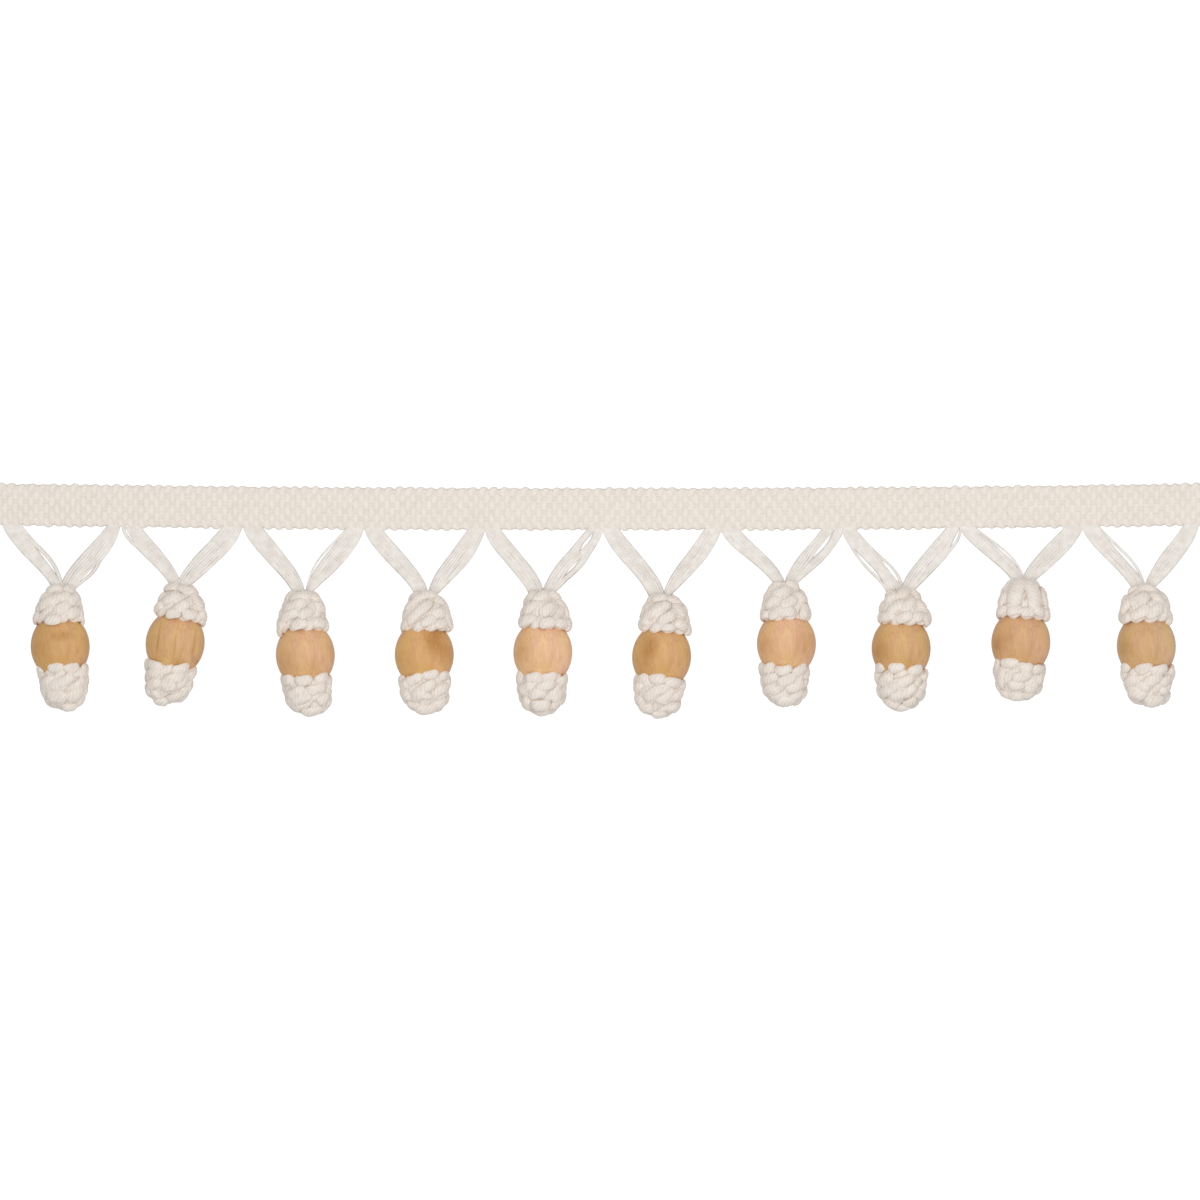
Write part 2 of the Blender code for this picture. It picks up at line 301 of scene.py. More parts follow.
@dataclass(frozen=True)
class Patch:
    """A darker place on a bead, or a paler one where its strength is negative. Some are marks in the wood;
    the darker ones along a bead's left side are painted shade, and the paler ones along its right side are
    painted light.

    Its place is from the bead's centre, seen from above. A stretch over 1 draws it out along the bore.
    """

    across: float
    along: float
    size: float
    strength: float
    stretch: float = 1.6

    def reach(self, shader: Shader, centre: Sequence[float], turn: float) -> Value:
        """How far each place on one bead is from the patch's middle, as a share of the patch's size."""
        across = Matrix.Rotation(turn, 2) @ Vector((self.across, self.along)) * MM
        middle = (centre[0] + across.x, centre[1] + across.y, centre[2])
        sizes = (1 / (self.size * MM), 1 / (self.stretch * self.size * MM), 0.0)
        return shader.vector("LENGTH", shader.place(middle, turn, sizes), output="Value")


@dataclass(frozen=True)
class Grain:
    """One soft pattern in the wood, which is drawn out along the bore."""

    scale: float
    along: float
    detail: float
    ends: Range

    def lay(self, shader: Shader, centre: Sequence[float], turn: float) -> Value:
        """The pattern over one bead, from 0 to 1."""
        where = shader.place(centre, turn, (1.0, self.along, 1.0))
        return shader.spread(shader.noise(where, self.scale, self.detail), self.ends)


@dataclass(frozen=True)
class WoodFinish:
    """Pale, close-grained wood, turned and sanded, with its grain along the bore."""

    name: str
    colour: Colour
    marks_and_painted_light: tuple[Patch, ...]
    pale_share: Colour = (1.20, 1.24, 1.26)
    dark_share: Colour = (0.78, 0.64, 0.44)
    golden: Colour = (1.0, 1.01, 0.86)
    rosy: Colour = (1.02, 0.98, 1.10)
    fibre: Grain = Grain(1900.0, 0.07, 3.0, (0.3, 0.7))
    cloud: Grain = Grain(210.0, 0.5, 3.0, (0.3, 0.7))
    tint: Grain = Grain(120.0, 0.6, 1.0, (0.35, 0.65))
    fibre_share: float = 0.26
    cloud_share: float = 0.34
    ring_share: float = 0.08
    ring_pace: float = 2600.0
    ring_sway: float = 3.0
    pith: float = 24.0
    patch_sway: float = 0.3
    patch_ends: Range = (0.1, 1.2)
    fibre_depth: float = 0.02
    roughness: float = 0.5
    gloss: float = 0.2

    def tinted(self, share: Colour, cast: Colour) -> Colour:
        """The wood's own colour, made paler or darker by a share and given a cast."""
        return tuple(part * lighter * warmer for part, lighter, warmer in zip(self.colour, share, cast))

    def dress(self, centre: Sequence[float], turn: float) -> bpy.types.Material:
        """Makes the material for one bead.

        Args:
            centre: The bead's centre, in metres.
            turn: How far the drop is turned about the vertical.

        Returns:
            The material.
        """
        shader = Shader(self.name)
        patterns = (self.fibre, self.cloud, self.tint)
        fibre, cloud, tint = (pattern.lay(shader, centre, turn) for pattern in patterns)
        pith = (centre[0] + self.pith * MM, centre[1], centre[2] - self.pith * MM)
        distance = shader.vector("LENGTH", shader.place(pith, turn, (1.0, 0.0, 1.0)), output="Value")
        rings = ((distance * self.ring_pace + cloud * self.ring_sway).sine() + 1) * 0.5
        shade = fibre * self.fibre_share + cloud * self.cloud_share + rings * self.ring_share
        # Each patch darkens the wood, or lightens it where its strength is negative: some are marks in the
        # wood, some are painted shade along a bead's left side, and some are painted light along its right
        # side.
        for patch in self.marks_and_painted_light:
            reach = patch.reach(shader, centre, turn) + cloud * self.patch_sway
            shade = shade + (1 - shader.spread(reach, self.patch_ends)) * patch.strength
        golden, rosy = (self.tinted(self.pale_share, cast) for cast in (self.golden, self.rosy))
        colour = shader.mix(shade, shader.mix(tint, golden, rosy), self.tinted(self.dark_share, WHITE))
        constants = {"Roughness": self.roughness, "Specular IOR Level": self.gloss}
        return shader.finish(colour, fibre, self.fibre_depth, constants)


@dataclass
class YarnRun:
    """One length of yarn: its middle line, which way is out, and its half width and half thickness."""

    centres: np.ndarray
    outwards: np.ndarray
    half_width: np.ndarray
    half_thickness: np.ndarray
    closed: bool = False

    @classmethod
    def face_up(cls, centres: np.ndarray, half_width: Sizes, half_thickness: Sizes) -> "YarnRun":
        """A length of yarn whose outer side is up. Each size is one number, or one for each point."""
        each = np.ones(len(centres))
        return cls(centres, np.outer(each, (0.0, 0.0, 1.0)), half_width * each, half_thickness * each)


class YarnMesh:
    """Lengths of yarn swept as closed tubes, all in one mesh."""

    MAP = "yarn"

    def __init__(self, sides: int, finish: CottonFinish) -> None:
        """Starts with no yarn.

        Args:
            sides: How many sides the tubes have.
            finish: What the yarn is made of.
        """
        self.sides = sides
        self.finish = finish
        self.points: list[np.ndarray] = []
        self.quads: list[np.ndarray] = []
        self.quad_maps: list[np.ndarray] = []
        self.caps: list[np.ndarray] = []
        self.cap_maps: list[np.ndarray] = []
        self.count = 0

    def lay(self, run: YarnRun) -> None:
        """Adds one length of yarn. The twist of a closed one is drawn out to meet itself.

        Args:
            run: The length of yarn.
        """
        count, sides = len(run.centres), self.sides
        along = self.tangents(run)
        aside = unit(np.cross(along, run.outwards))
        out = np.cross(aside, along)
        steps = np.linalg.norm(np.diff(run.centres, axis=0, append=run.centres[:1]), axis=1)
        lengths = np.concatenate(([0.0], np.cumsum(steps)))
        if run.closed:
            pitch, whole = self.finish.ply_pitch, lengths[count]
            lengths *= max(round(whole / pitch), 1) * pitch / whole
        angles = TURN * np.arange(sides) / sides
        wide = (run.half_width[:, None] * np.cos(angles))[..., None] * aside[:, None, :]
        thick = (run.half_thickness[:, None] * np.sin(angles))[..., None] * out[:, None, :]
        self.points.append((run.centres[:, None, :] + wide + thick).reshape(-1, 3))
        rings = np.arange(count if run.closed else count - 1)
        here, around = (grid.ravel() for grid in np.meshgrid(rings, np.arange(sides), indexing="ij"))
        after, beside = (here + 1) % count, (around + 1) % sides
        corners = ((here, around), (after, around), (after, beside), (here, beside))
        self.quads.append(self.count + np.stack([ring * sides + side for ring, side in corners], axis=1))
        places = ((here, around), (here + 1, around), (here + 1, around + 1), (here, around + 1))
        maps = [np.stack((lengths[ring] * MM, side / sides), axis=1) for ring, side in places]
        self.quad_maps.append(np.stack(maps, axis=1))
        self.count += count * sides
        if not run.closed:
            self.cap(run.centres[0], self.count - count * sides, 0.0, False)
            self.cap(run.centres[-1], self.count - sides - 1, lengths[count - 1], True)

    def cap(self, centre: np.ndarray, first: int, length: float, last: bool) -> None:
        """Closes one end of a length of yarn.

        Args:
            centre: The middle of the end.
            first: The first of the end's points.
            length: How far along the yarn the end is.
            last: Whether this is the far end.
        """
        self.points.append(centre[None, :])
        ring = first + np.arange(self.sides)
        beside = np.roll(ring, -1)
        middle = np.full(self.sides, self.count)
        order = (middle, beside, ring) if last else (middle, ring, beside)
        self.caps.append(np.stack(order, axis=1))
        self.cap_maps.append(np.full((self.sides, 3, 2), (length * MM, 0.5)))
        self.count += 1

    @staticmethod
    def tangents(run: YarnRun) -> np.ndarray:
        """The direction of the yarn at each point."""
        if run.closed:
            return unit(np.roll(run.centres, -1, axis=0) - np.roll(run.centres, 1, axis=0))
        return unit(np.gradient(run.centres, axis=0))

    def build(self, name: str, node: str) -> bpy.types.Object:
        """Makes the piece and puts it in a node's stead.

        Args:
            name: Its name.
            node: The node that it stands for.

        Returns:
            The object, with its place in its mesh.
        """
        faces = [face for part in self.quads + self.caps for face in part.tolist()]
        mesh = bpy.data.meshes.new(name)
        mesh.from_pydata(np.concatenate(self.points) * MM, [], faces)
        maps = [part.reshape(-1, 2) for part in self.quad_maps + self.cap_maps]
        layer = mesh.uv_layers.new(name=self.MAP)
        layer.data.foreach_set("uv", np.concatenate(maps).astype(np.float32).ravel())
        mesh.shade_smooth()
        return hold(mesh, self.finish.dress(), node)


def unit(vectors: np.ndarray) -> np.ndarray:
    """Vectors drawn out or in to a length of 1."""
    return vectors / np.maximum(np.linalg.norm(vectors, axis=-1, keepdims=True), 1e-9)


def wander(
    rng: np.random.Generator, share: np.ndarray, waves: Waves, size: float, least: float = 0.4
) -> np.ndarray:
    """A smooth, uneven drift to either side of nothing that closes on itself.

    Args:
        rng: Where the unevenness comes from.
        share: The share of the way along, from 0 to 1, at each point.
        waves: How many whole waves each part of the drift has.
        size: The rough size of the drift.
        least: The smallest part of the drift, as a share of the largest.

    Returns:
        The drift at each point.
    """
    drift = np.zeros_like(share)
    for wave in waves:
        drift += rng.uniform(least, 1.0) * np.sin(TURN * (wave * share + rng.uniform()))
    return drift * size / math.sqrt(len(waves))


def rounded(bow: np.ndarray, shoulder: float = 0.94, least: float = 0.05) -> np.ndarray:
    """The girth along a plump length of cord, which keeps even and then rounds off.

    Args:
        bow: The way along, from -1 at one end to 1 at the other.
        shoulder: Where the rounding would close.
        least: The least square of the girth, at the ends.

    Returns:
        The girth at each point, as a share of the greatest.
    """
    return np.sqrt(np.maximum(1 - (shoulder * bow) ** 4, least))


def hold(mesh: bpy.types.Mesh, material: bpy.types.Material, node: str) -> bpy.types.Object:
    """Puts a piece on the fringe in a node's stead.

    Args:
        mesh: Its form, where it lies. The piece is called what the mesh is.
        material: What it is dressed in.
        node: The node that it stands for.

    Returns:
        The piece.
    """
    mesh.materials.append(material)
    piece = bpy.data.objects.new(mesh.name, mesh)
    bpy.context.scene.collection.objects.link(piece)
    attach(piece, "root")
    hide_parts(node)
    LOG.info("%s: %d faces", piece.name, len(mesh.polygons))
    return piece


@dataclass
class HeaderBand:
    """The woven header band: one weft that turns back at either edge, over and under six flatter warps."""

    length: float = 370.0
    width: float = 12.8
    bow: float = 1.45
    middle_height: float = 1.0
    pick_pitch: float = 1.6
    pick_steps: int = 22
    turn_steps: int = 5
    turn_tuck: float = 0.65
    turn_reach: Range = (0.6, 1.15)
    weft_wave: float = 0.30
    weft_half_width: float = 0.96
    weft_half_thickness: float = 0.50
    warp_count: int = 6
    warp_pitch: float = 2.12
    warp_steps: int = 3
    warp_wave: float = 0.16
    warp_half_width: float = 1.0
    warp_half_thickness: float = 0.46
    edge_inset: float = 0.3
    edge_half_width: float = 1.15
    drift: float = 0.11
    slub: float = 0.05
    weft_drift_waves: Waves = (301, 457, 613)
    weft_slub_waves: Waves = (97, 233, 391)
    warp_drift_waves: Waves = (23, 61, 118)
    warp_slub_waves: Waves = (37, 83, 141)
    sides: int = 8
    seed: int = 5

    def middle(self, x: Sizes) -> Sizes:
        """The band's middle line, which bows upwards a little towards both ends."""
        return self.bow * (2 * x / self.length) ** 2

    @property
    def picks(self) -> int:
        """How many times the weft crosses the band."""
        return int(self.length / self.pick_pitch)

    @property
    def start(self) -> float:
        """Where the weft first crosses the band."""
        return (1 - self.picks) * self.pick_pitch / 2

    def weft(self) -> YarnRun:
        """The weft's one long run."""
        rng = np.random.default_rng(self.seed)
        turn_radius = self.pick_pitch / 2
        straight = self.width / 2 - turn_radius - self.weft_half_width * self.turn_tuck
        x_parts, y_parts, z_parts = [], [], []
        across = np.linspace(-straight, straight, self.pick_steps)
        bend = np.linspace(0, math.pi, self.turn_steps + 2)[1:-1]
        wave = self.weft_wave * np.sin(math.pi * across / self.warp_pitch)
        for pick in range(self.picks):
            way = 1 if pick % 2 == 0 else -1
            x = self.start + pick * self.pick_pitch
            reach = turn_radius * rng.uniform(*self.turn_reach)
            y_parts += [way * across, way * (straight + reach * np.sin(bend))]
            x_parts += [np.full_like(across, x), x + turn_radius * (1 - np.cos(bend))]
            z_parts += [wave, wave[-1] * np.cos(bend)]
        x, y, z = (np.concatenate(parts) for parts in (x_parts, y_parts, z_parts))
        share = np.linspace(0, 1, len(x))
        x = x + wander(rng, share, self.weft_drift_waves, self.drift)
        centres = np.stack((x, y + self.middle(x), z + self.middle_height), axis=1)
        size = 1 + wander(rng, share, self.weft_slub_waves, self.slub)
        return YarnRun.face_up(centres, self.weft_half_width * size, self.weft_half_thickness * size)

    def warp(self, row: int) -> YarnRun:
        """One warp.

        Args:
            row: Its place, counted upwards from the band's middle, where row 0 starts.

        Returns:
            Its run of yarn.
        """
        rng = np.random.default_rng((self.seed, row + self.warp_count))
        place, half_width = (row + 0.5) * self.warp_pitch, self.warp_half_width
        if row in (-self.warp_count // 2, self.warp_count // 2 - 1):
            place -= math.copysign(self.edge_inset, place)
            half_width = self.edge_half_width
        count = self.picks * self.warp_steps + 1
        x = np.linspace(-self.length / 2, self.length / 2, count)
        share = np.linspace(0, 1, count)
        way = -1 if row % 2 == 0 else 1
        z = way * self.warp_wave * np.cos(math.pi * (x - self.start) / self.pick_pitch)
        y = place + self.middle(x) + wander(rng, share, self.warp_drift_waves, self.drift)
        size = 1 + wander(rng, share, self.warp_slub_waves, self.slub)
        centres = np.stack((x, y, z + self.middle_height), axis=1)
        return YarnRun.face_up(centres, half_width * size, self.warp_half_thickness * size)

    def make(self, weft_finish: CottonFinish, warp_finish: CottonFinish) -> None:
        """Weaves the band and lays it on the table.

        Args:
            weft_finish: What the weft is made of.
            warp_finish: What the warps are made of: the weft's cream, painted a shade darker as painted
                shade for where the warps lie lower, under the weft.
        """
        weft = YarnMesh(self.sides, weft_finish)
        weft.lay(self.weft())
        weft_piece = weft.build("header_weft", "header_band")
        warp = YarnMesh(self.sides, warp_finish)
        for row in range(-self.warp_count // 2, self.warp_count // 2):
            warp.lay(self.warp(row))
        warp_piece = warp.build("header_warp", "header_band")


@dataclass(frozen=True)
class Lobe:
    """A lump of cord that stands out on a knot: its place from the bead's centre, its lie and its size."""

    across: float
    up: float
    angle: float
    length: float = 5.5
    half_width: float = 1.7
    rise: float = 0.2


@dataclass(frozen=True)
class KnotPlan:
    """How one knot of one drop is tied.

    A full knot keeps its girth further out, and a shift is sideways. The last row is the place of the
    lumps nearest the knot's far end, as a share of the way there. A low one leaves the tip standing apart.
    """

    radius: float
    fullness: float = 1.0
    shift: float = 0.0
    last_row: float = 0.90


@dataclass(frozen=True)
class Slit:
    """A place where a skein's threads part: across it, from and to shares of its length, and how wide."""

    across: float
    start: float
    end: float
    width: float


@dataclass(frozen=True)
class Leg:
    """The ends of one skein: sideways places from the junction at the band and from the knot's neck.

    A stray is a thread apart from the rest: its place across the skein, and how far out it bows.
    """

    root_near: float
    root_far: float
    foot_near: float
    foot_far: float
    strays: tuple[Range, ...] = ()
    slits: tuple[Slit, ...] = ()


@dataclass(frozen=True)
class Bow:
    """How far an edge of a skein bows outwards from its V, near the band and near the knot."""

    root: float
    foot: float


OUTER_BOWS = {Side.LEFT: Bow(2.0, 1.0), Side.RIGHT: Bow(1.4, 5.5)}
INNER_BOW = Bow(-2.4, -1.2)


@dataclass(frozen=True)
class DropPlan:
    """Where one drop lies and how it is tied.

    Each place is how far it is sideways from the middle of the drop's pitch, and how far below the
    band's middle.
    """

    neck: Range
    bead: Range
    tip: Range
    cap: KnotPlan
    end: KnotPlan
    left: Leg
    right: Leg
    wood: tuple[int, int, int]
    lobes: tuple[Lobe, ...]
    marks_and_painted_light: tuple[Patch, ...]


class DropLie:
    """The lie of one drop on the table: sideways, up the cord towards the band, and up from the table."""

    PITCH = 36.6
    COUNT = 10
    NECK_SAG = 3.6
    TIP_SAG = 3.8
    BEAD_HEIGHT = 9.0
    STRAIGHT = 8.8

    def __init__(self, number: int, plan: DropPlan) -> None:
        """Works out the drop's axes and its ends.

        Args:
            number: The drop's number, from the left.
            plan: Its places.
        """
        middle = (number - (self.COUNT + 1) / 2) * self.PITCH
        places = (plan.neck, plan.bead, plan.tip)
        neck, bead, tip = (np.array((middle + across, -down)) for across, down in places)
        upwards = (neck - tip) / np.linalg.norm(neck - tip)
        aside = np.array((upwards[1], -upwards[0]))
        self.centre = np.array((*bead, self.BEAD_HEIGHT))
        self.axes = np.array(((*aside, 0.0), (*upwards, 0.0), (0.0, 0.0, 1.0)))
        self.turn = math.atan2(aside[1], aside[0])
        self.neck = np.array(((neck - bead) @ aside, (neck - bead) @ upwards, -self.NECK_SAG))
        self.tip = np.array(((tip - bead) @ aside, (tip - bead) @ upwards, -self.TIP_SAG))

    def to_world(self, points: np.ndarray) -> np.ndarray:
        """Places from the bead's centre as places of the part."""
        return self.centre + points @ self.axes

    def cord_centre(self, height: np.ndarray) -> np.ndarray:
        """The middle of the cord, which bends to the neck and the tip outside the bead.

        Args:
            height: The heights along it, from the bead's centre.

        Returns:
            The places there, from the bead's centre.
        """
        end = np.where(height[..., None] > 0, self.neck, self.tip)
        beyond = np.maximum(np.abs(height) - self.STRAIGHT, 0.0)
        bend = (beyond / (np.abs(end[..., 1]) - self.STRAIGHT)) ** 2
        return np.stack((end[..., 0] * bend, height, end[..., 2] * bend), axis=-1)


@dataclass
class Skein:
    """A flat bundle of fine threads from the band's edge to a cap knot."""

    side: Side
    leg: Leg
    number: int
    lie: DropLie
    band: HeaderBand
    threads: int = 36
    layers: int = 5
    layer_step: int = 3
    steps: int = 16
    sides: int = 6
    thread_half_width: float = 0.40
    thread_half_thickness: float = 0.18
    root_tuck: float = 1.6
    foot_tuck: float = 1.6
    root_handle: Triple = (0.30, 0.36, 0.15)
    foot_handle: Triple = (0.30, 0.36, 0.45)
    lean: float = 0.12
    half_thicknesses: Triple = (0.14, 0.22, 0.55)
    outermost: float = 0.97
    sway_waves: Waves = (1, 2)
    side_sway: float = 0.05
    lift_sway: float = 0.12
    sizes: Range = (0.9, 1.1)
    stray_size: float = 0.8
    stray_bow: float = 1.5
    seed: int = 11

    def edge(self, root_x: float, foot_x: float, bow: Bow) -> np.ndarray:
        """One edge of the skein, as the four points of a cubic curve.

        Args:
            root_x: The sideways place of the edge at the band.
            foot_x: Its sideways place at the knot, from the neck.
            bow: How the edge bows.

        Returns:
            The four points.
        """
        junction = (self.number - 1 + (self.side is Side.RIGHT) - DropLie.COUNT / 2) * DropLie.PITCH
        x = junction + root_x
        y = self.band.middle(x) - self.band.width / 2 + self.root_tuck
        root = np.array((x, y, self.band.middle_height))
        foot = self.lie.to_world(self.lie.neck + (foot_x, -self.foot_tuck, 0.0))
        drop, lean = foot - root, self.lean * (foot[0] - root[0])
        after = root + drop * self.root_handle + (self.side.value * bow.root - lean, 0.0, 0.0)
        before = foot - drop * self.foot_handle + (self.side.value * bow.foot + lean, 0.0, 0.0)
        return np.stack((root, after, before, foot))

    def make(self, finish: CottonFinish) -> None:
        """Lays the threads. Across the skein, its outer edge is at -1 and its inner edge at 1.

        Args:
            finish: What the threads are made of.
        """
        rng = np.random.default_rng((self.seed, self.number, self.side.value + 1))
        share = np.linspace(0, 1, self.steps)
        rest = 1 - share
        weights = np.stack((rest**3, 3 * rest**2 * share, 3 * rest * share**2, share**3), axis=1)
        leg = self.leg
        outer = weights @ self.edge(leg.root_near, leg.foot_far, OUTER_BOWS[self.side])
        inner = weights @ self.edge(leg.root_far, leg.foot_near, INNER_BOW)
        centre, half_span = (outer + inner) / 2, (inner - outer) / 2
        thickness = np.interp(share, (0, 0.5, 1), self.half_thicknesses)
        bundle = YarnMesh(self.sides, finish)
        for thread in range(self.threads):
            across = self.outermost * (2 * (thread + 0.5) / self.threads - 1)
            layer = (thread * self.layer_step) % self.layers / (self.layers // 2) - 1
            spread = across + wander(rng, share, self.sway_waves, self.side_sway)
            for slit in leg.slits:
                part = np.clip((share - slit.start) / (slit.end - slit.start), 0, 1)
                apart = across - slit.across
                push = math.copysign(slit.width * max(1 - abs(apart), 0), apart)
                spread = spread + push * np.sin(math.pi * part)
            lift = layer * math.sqrt(1 - across**2) + wander(rng, share, self.sway_waves, self.lift_sway)
            middle = centre + half_span * spread[:, None]
            middle[:, 2] += lift * thickness
            self.lay_thread(bundle, middle, rng.uniform(*self.sizes))
        for across, reach in leg.strays:
            apart = across + reach * np.sin(math.pi * share) ** self.stray_bow
            self.lay_thread(bundle, centre + half_span * apart[:, None], self.stray_size)
        name = f"{self.side.name.lower()}_{self.number:02d}"
        bundle.build(f"threads_{name}", f"skein_{name}")

    def lay_thread(self, bundle: YarnMesh, middle: np.ndarray, size: float) -> None:
        """Adds one thread to the bundle, of a size that is a share of the usual one."""
        wide, thick = size * self.thread_half_width, size * self.thread_half_thickness
        bundle.lay(YarnRun.face_up(middle, wide, thick))


@dataclass(frozen=True)
class Plait:
    """How the cord goes round in one kind of knot, and the form that this gives the knot."""

    leads: int
    rim_height: float
    narrowing: float
    proud: float
    flare: float


PLAITS = {
    KnotKind.CAP: Plait(leads=4, rim_height=8.7, narrowing=1.0, proud=0.5, flare=0.4),
    KnotKind.END: Plait(leads=5, rim_height=7.8, narrowing=2.0, proud=0.4, flare=0.2),
}


@dataclass
class Knot:
    """One knot of a drop: the cord goes round and round, over and under itself, in a closed plait.

    Shares of the way are from the knot's rim, at the bead, to its far end.
    """

    kind: KnotKind
    lie: DropLie
    plan: KnotPlan
    number: int
    steps: int = 640
    bights: int = 9
    over_half_width: float = 1.62
    under_half_width: float = 1.25
    half_thickness: float = 1.2
    rim_share: float = 0.875
    far_share: float = 0.42
    far_inset: float = 1.3
    curve_share: float = 0.40
    flare_reach: float = 0.35
    least_share: float = 0.03
    least_slope: float = 0.25
    pinch: float = 0.16
    over: float = 0.32
    over_gain: float = 2.2
    overreach: float = 1.02
    twist: float = 0.6
    thinning: float = 0.25
    sway_waves: Waves = (3, 5, 8, 13, 21)
    height_sway: float = 0.026
    angle_sway: float = 0.065
    lift_sway: float = 0.156
    size_sway: float = 0.065
    sunk: float = 0.85
    heart_steps: int = 90
    heart_turns: float = 3.6
    heart_ends: Range = (0.12, 0.92)
    heart_depth: float = 2.0
    heart_radius: float = 1.75
    heart_flatness: float = 0.8
    core_steps: int = 10
    core_radius: float = 2.8
    core_ends: Range = (0.5, 1.0)
    lobe_steps: int = 15
    lobe_dive: float = 1.0
    lobe_flatness: float = 0.57
    lobe_bend: float = 0.35
    lobe_taper: float = 0.12
    lobe_ends: Range = (-0.3, 1.15)
    lobe_waves: Waves = (1, 2)
    lobe_sway: float = 0.05
    lobe_least_share: float = -0.2
    lobe_side_limit: float = 0.97
    first_row: float = 0.07
    row_pitch: float = 2.9
    row_offset: float = 0.45
    least_lumps: int = 4
    lump_pitch: float = 5.4
    lump_lean: float = 27.0
    lump_length: float = 6.2
    lump_half_width: float = 1.9
    lump_clearance: float = 2.6
    lean_spread: float = 7.0
    length_shares: Range = (0.9, 1.15)
    width_shares: Range = (0.9, 1.1)
    rises: Range = (-0.35, 0.0)
    share_spread: float = 0.02
    angle_spread: float = 0.07
    flank: float = 0.1
    lump_seed: int = 31
    turn_seed: int = 23

    def __post_init__(self) -> None:
        """Starts the unevenness of the lumps, the same each time."""
        self.rng = np.random.default_rng((self.lump_seed, self.number, self.kind.value + 1))

    @property
    def plait(self) -> Plait:
        """How this kind of knot is plaited."""
        return PLAITS[self.kind]

    def rise(self) -> float:
        """How far the knot's far end is beyond its rim."""
        end = self.lie.neck if self.kind is KnotKind.CAP else self.lie.tip
        return abs(end[1]) - self.far_inset - self.plait.rim_height

    def middle(self, share: np.ndarray) -> np.ndarray:
        """The middle of the knot, at shares of the way."""
        height = self.plait.rim_height + share * self.rise()
        places = self.lie.cord_centre(self.kind.value * height)
        places[..., 0] += self.plan.shift * (1 - np.clip(share, 0, 1) ** 2)
        return places

    def girth(self, share: np.ndarray) -> tuple[np.ndarray, np.ndarray]:
        """The knot's girth.

        Args:
            share: The shares of the way.

        Returns:
            The radius there, and how fast it grows with the share.
        """
        power = self.plait.narrowing * self.plan.fullness
        share = np.maximum(share, self.least_share)
        narrow = (self.rim_share - self.far_share) * self.plan.radius
        slow, fast = self.curve_share, 1 - self.curve_share
        lost = narrow * (slow * share**power + fast * share ** (2 * power))
        radius = self.rim_share * self.plan.radius - lost
        radius = radius + self.plait.flare * np.maximum(1 - share / self.flare_reach, 0) ** 2
        slope = -narrow * power * (slow * share ** (power - 1) + 2 * fast * share ** (2 * power - 1))
        return radius, slope

    def skin(self, share: np.ndarray, angle: np.ndarray) -> tuple[np.ndarray, np.ndarray]:
        """Places on the knot's skin.

        Args:
            share: The share of the way.
            angle: The way round.

        Returns:
            The places, and the outward directions there.
        """
        radius, slope = self.girth(share)
        radial = np.stack((np.cos(angle), np.zeros_like(angle), np.sin(angle)), axis=-1)
        places = self.middle(share) + radius[..., None] * radial
        slope = np.minimum(slope, -self.least_slope * self.rise())
        outwards = radial * self.rise() - np.array((0.0, self.kind.value, 0.0)) * slope[..., None]
        return places, unit(outwards)

    def placed(
        self, places: np.ndarray, outwards: np.ndarray, *girths: np.ndarray, closed: bool = False
    ) -> YarnRun:
        """A run of cord whose places are from the bead's centre, moved to where its drop lies."""
        return YarnRun(self.lie.to_world(places), outwards @ self.lie.axes, *girths, closed=closed)

    def turns(self) -> YarnRun:
        """The closed run of cord that shows."""
        rng = np.random.default_rng((self.turn_seed, self.number, self.kind.value + 1))
        plait = self.plait
        share = np.arange(self.steps) / self.steps
        phase = TURN * self.bights * share
        eased = phase - self.pinch * np.sin(2 * phase)
        way = np.clip(np.sin(phase) * self.over_gain, -1, 1)
        height = (1 - np.cos(phase)) / 2 + wander(rng, share, self.sway_waves, self.height_sway)
        height = np.clip(height, 0.0, self.overreach)
        angle = -self.kind.value * (plait.leads / self.bights * eased + self.twist * height)
        angle = angle + wander(rng, share, self.sway_waves, self.angle_sway)
        places, outwards = self.skin(height, angle)
        lift = way * (self.over * np.cos(plait.leads * eased) + plait.proud) - self.over - plait.proud / 2
        lift = lift - self.sunk + wander(rng, share, self.sway_waves, self.lift_sway)
        narrow = 1 - self.thinning * height**3 + wander(rng, share, self.sway_waves, self.size_sway)
        wide = (self.over_half_width + self.under_half_width) / 2
        wide = wide + way * (self.over_half_width - self.under_half_width) / 2
        places = places + outwards * lift[:, None]
        return self.placed(places, outwards, wide * narrow, self.half_thickness * narrow, closed=True)

    def heart(self) -> YarnRun:
        """The cord's inner turns, which fill the knot."""
        share = np.linspace(0, 1, self.heart_steps)
        angle = TURN * self.heart_turns * share
        places, outwards = self.skin(np.linspace(*self.heart_ends, self.heart_steps), angle)
        size = np.full(len(share), self.heart_radius)
        return self.placed(places - outwards * self.heart_depth, outwards, size, size * self.heart_flatness)

    def core(self) -> YarnRun:
        """The end of the cord, which closes the knot's far end."""
        places = self.middle(np.linspace(*self.core_ends, self.core_steps))
        size = self.core_radius * rounded(np.linspace(-1, 1, self.core_steps))
        return YarnRun.face_up(self.lie.to_world(places), size, size)

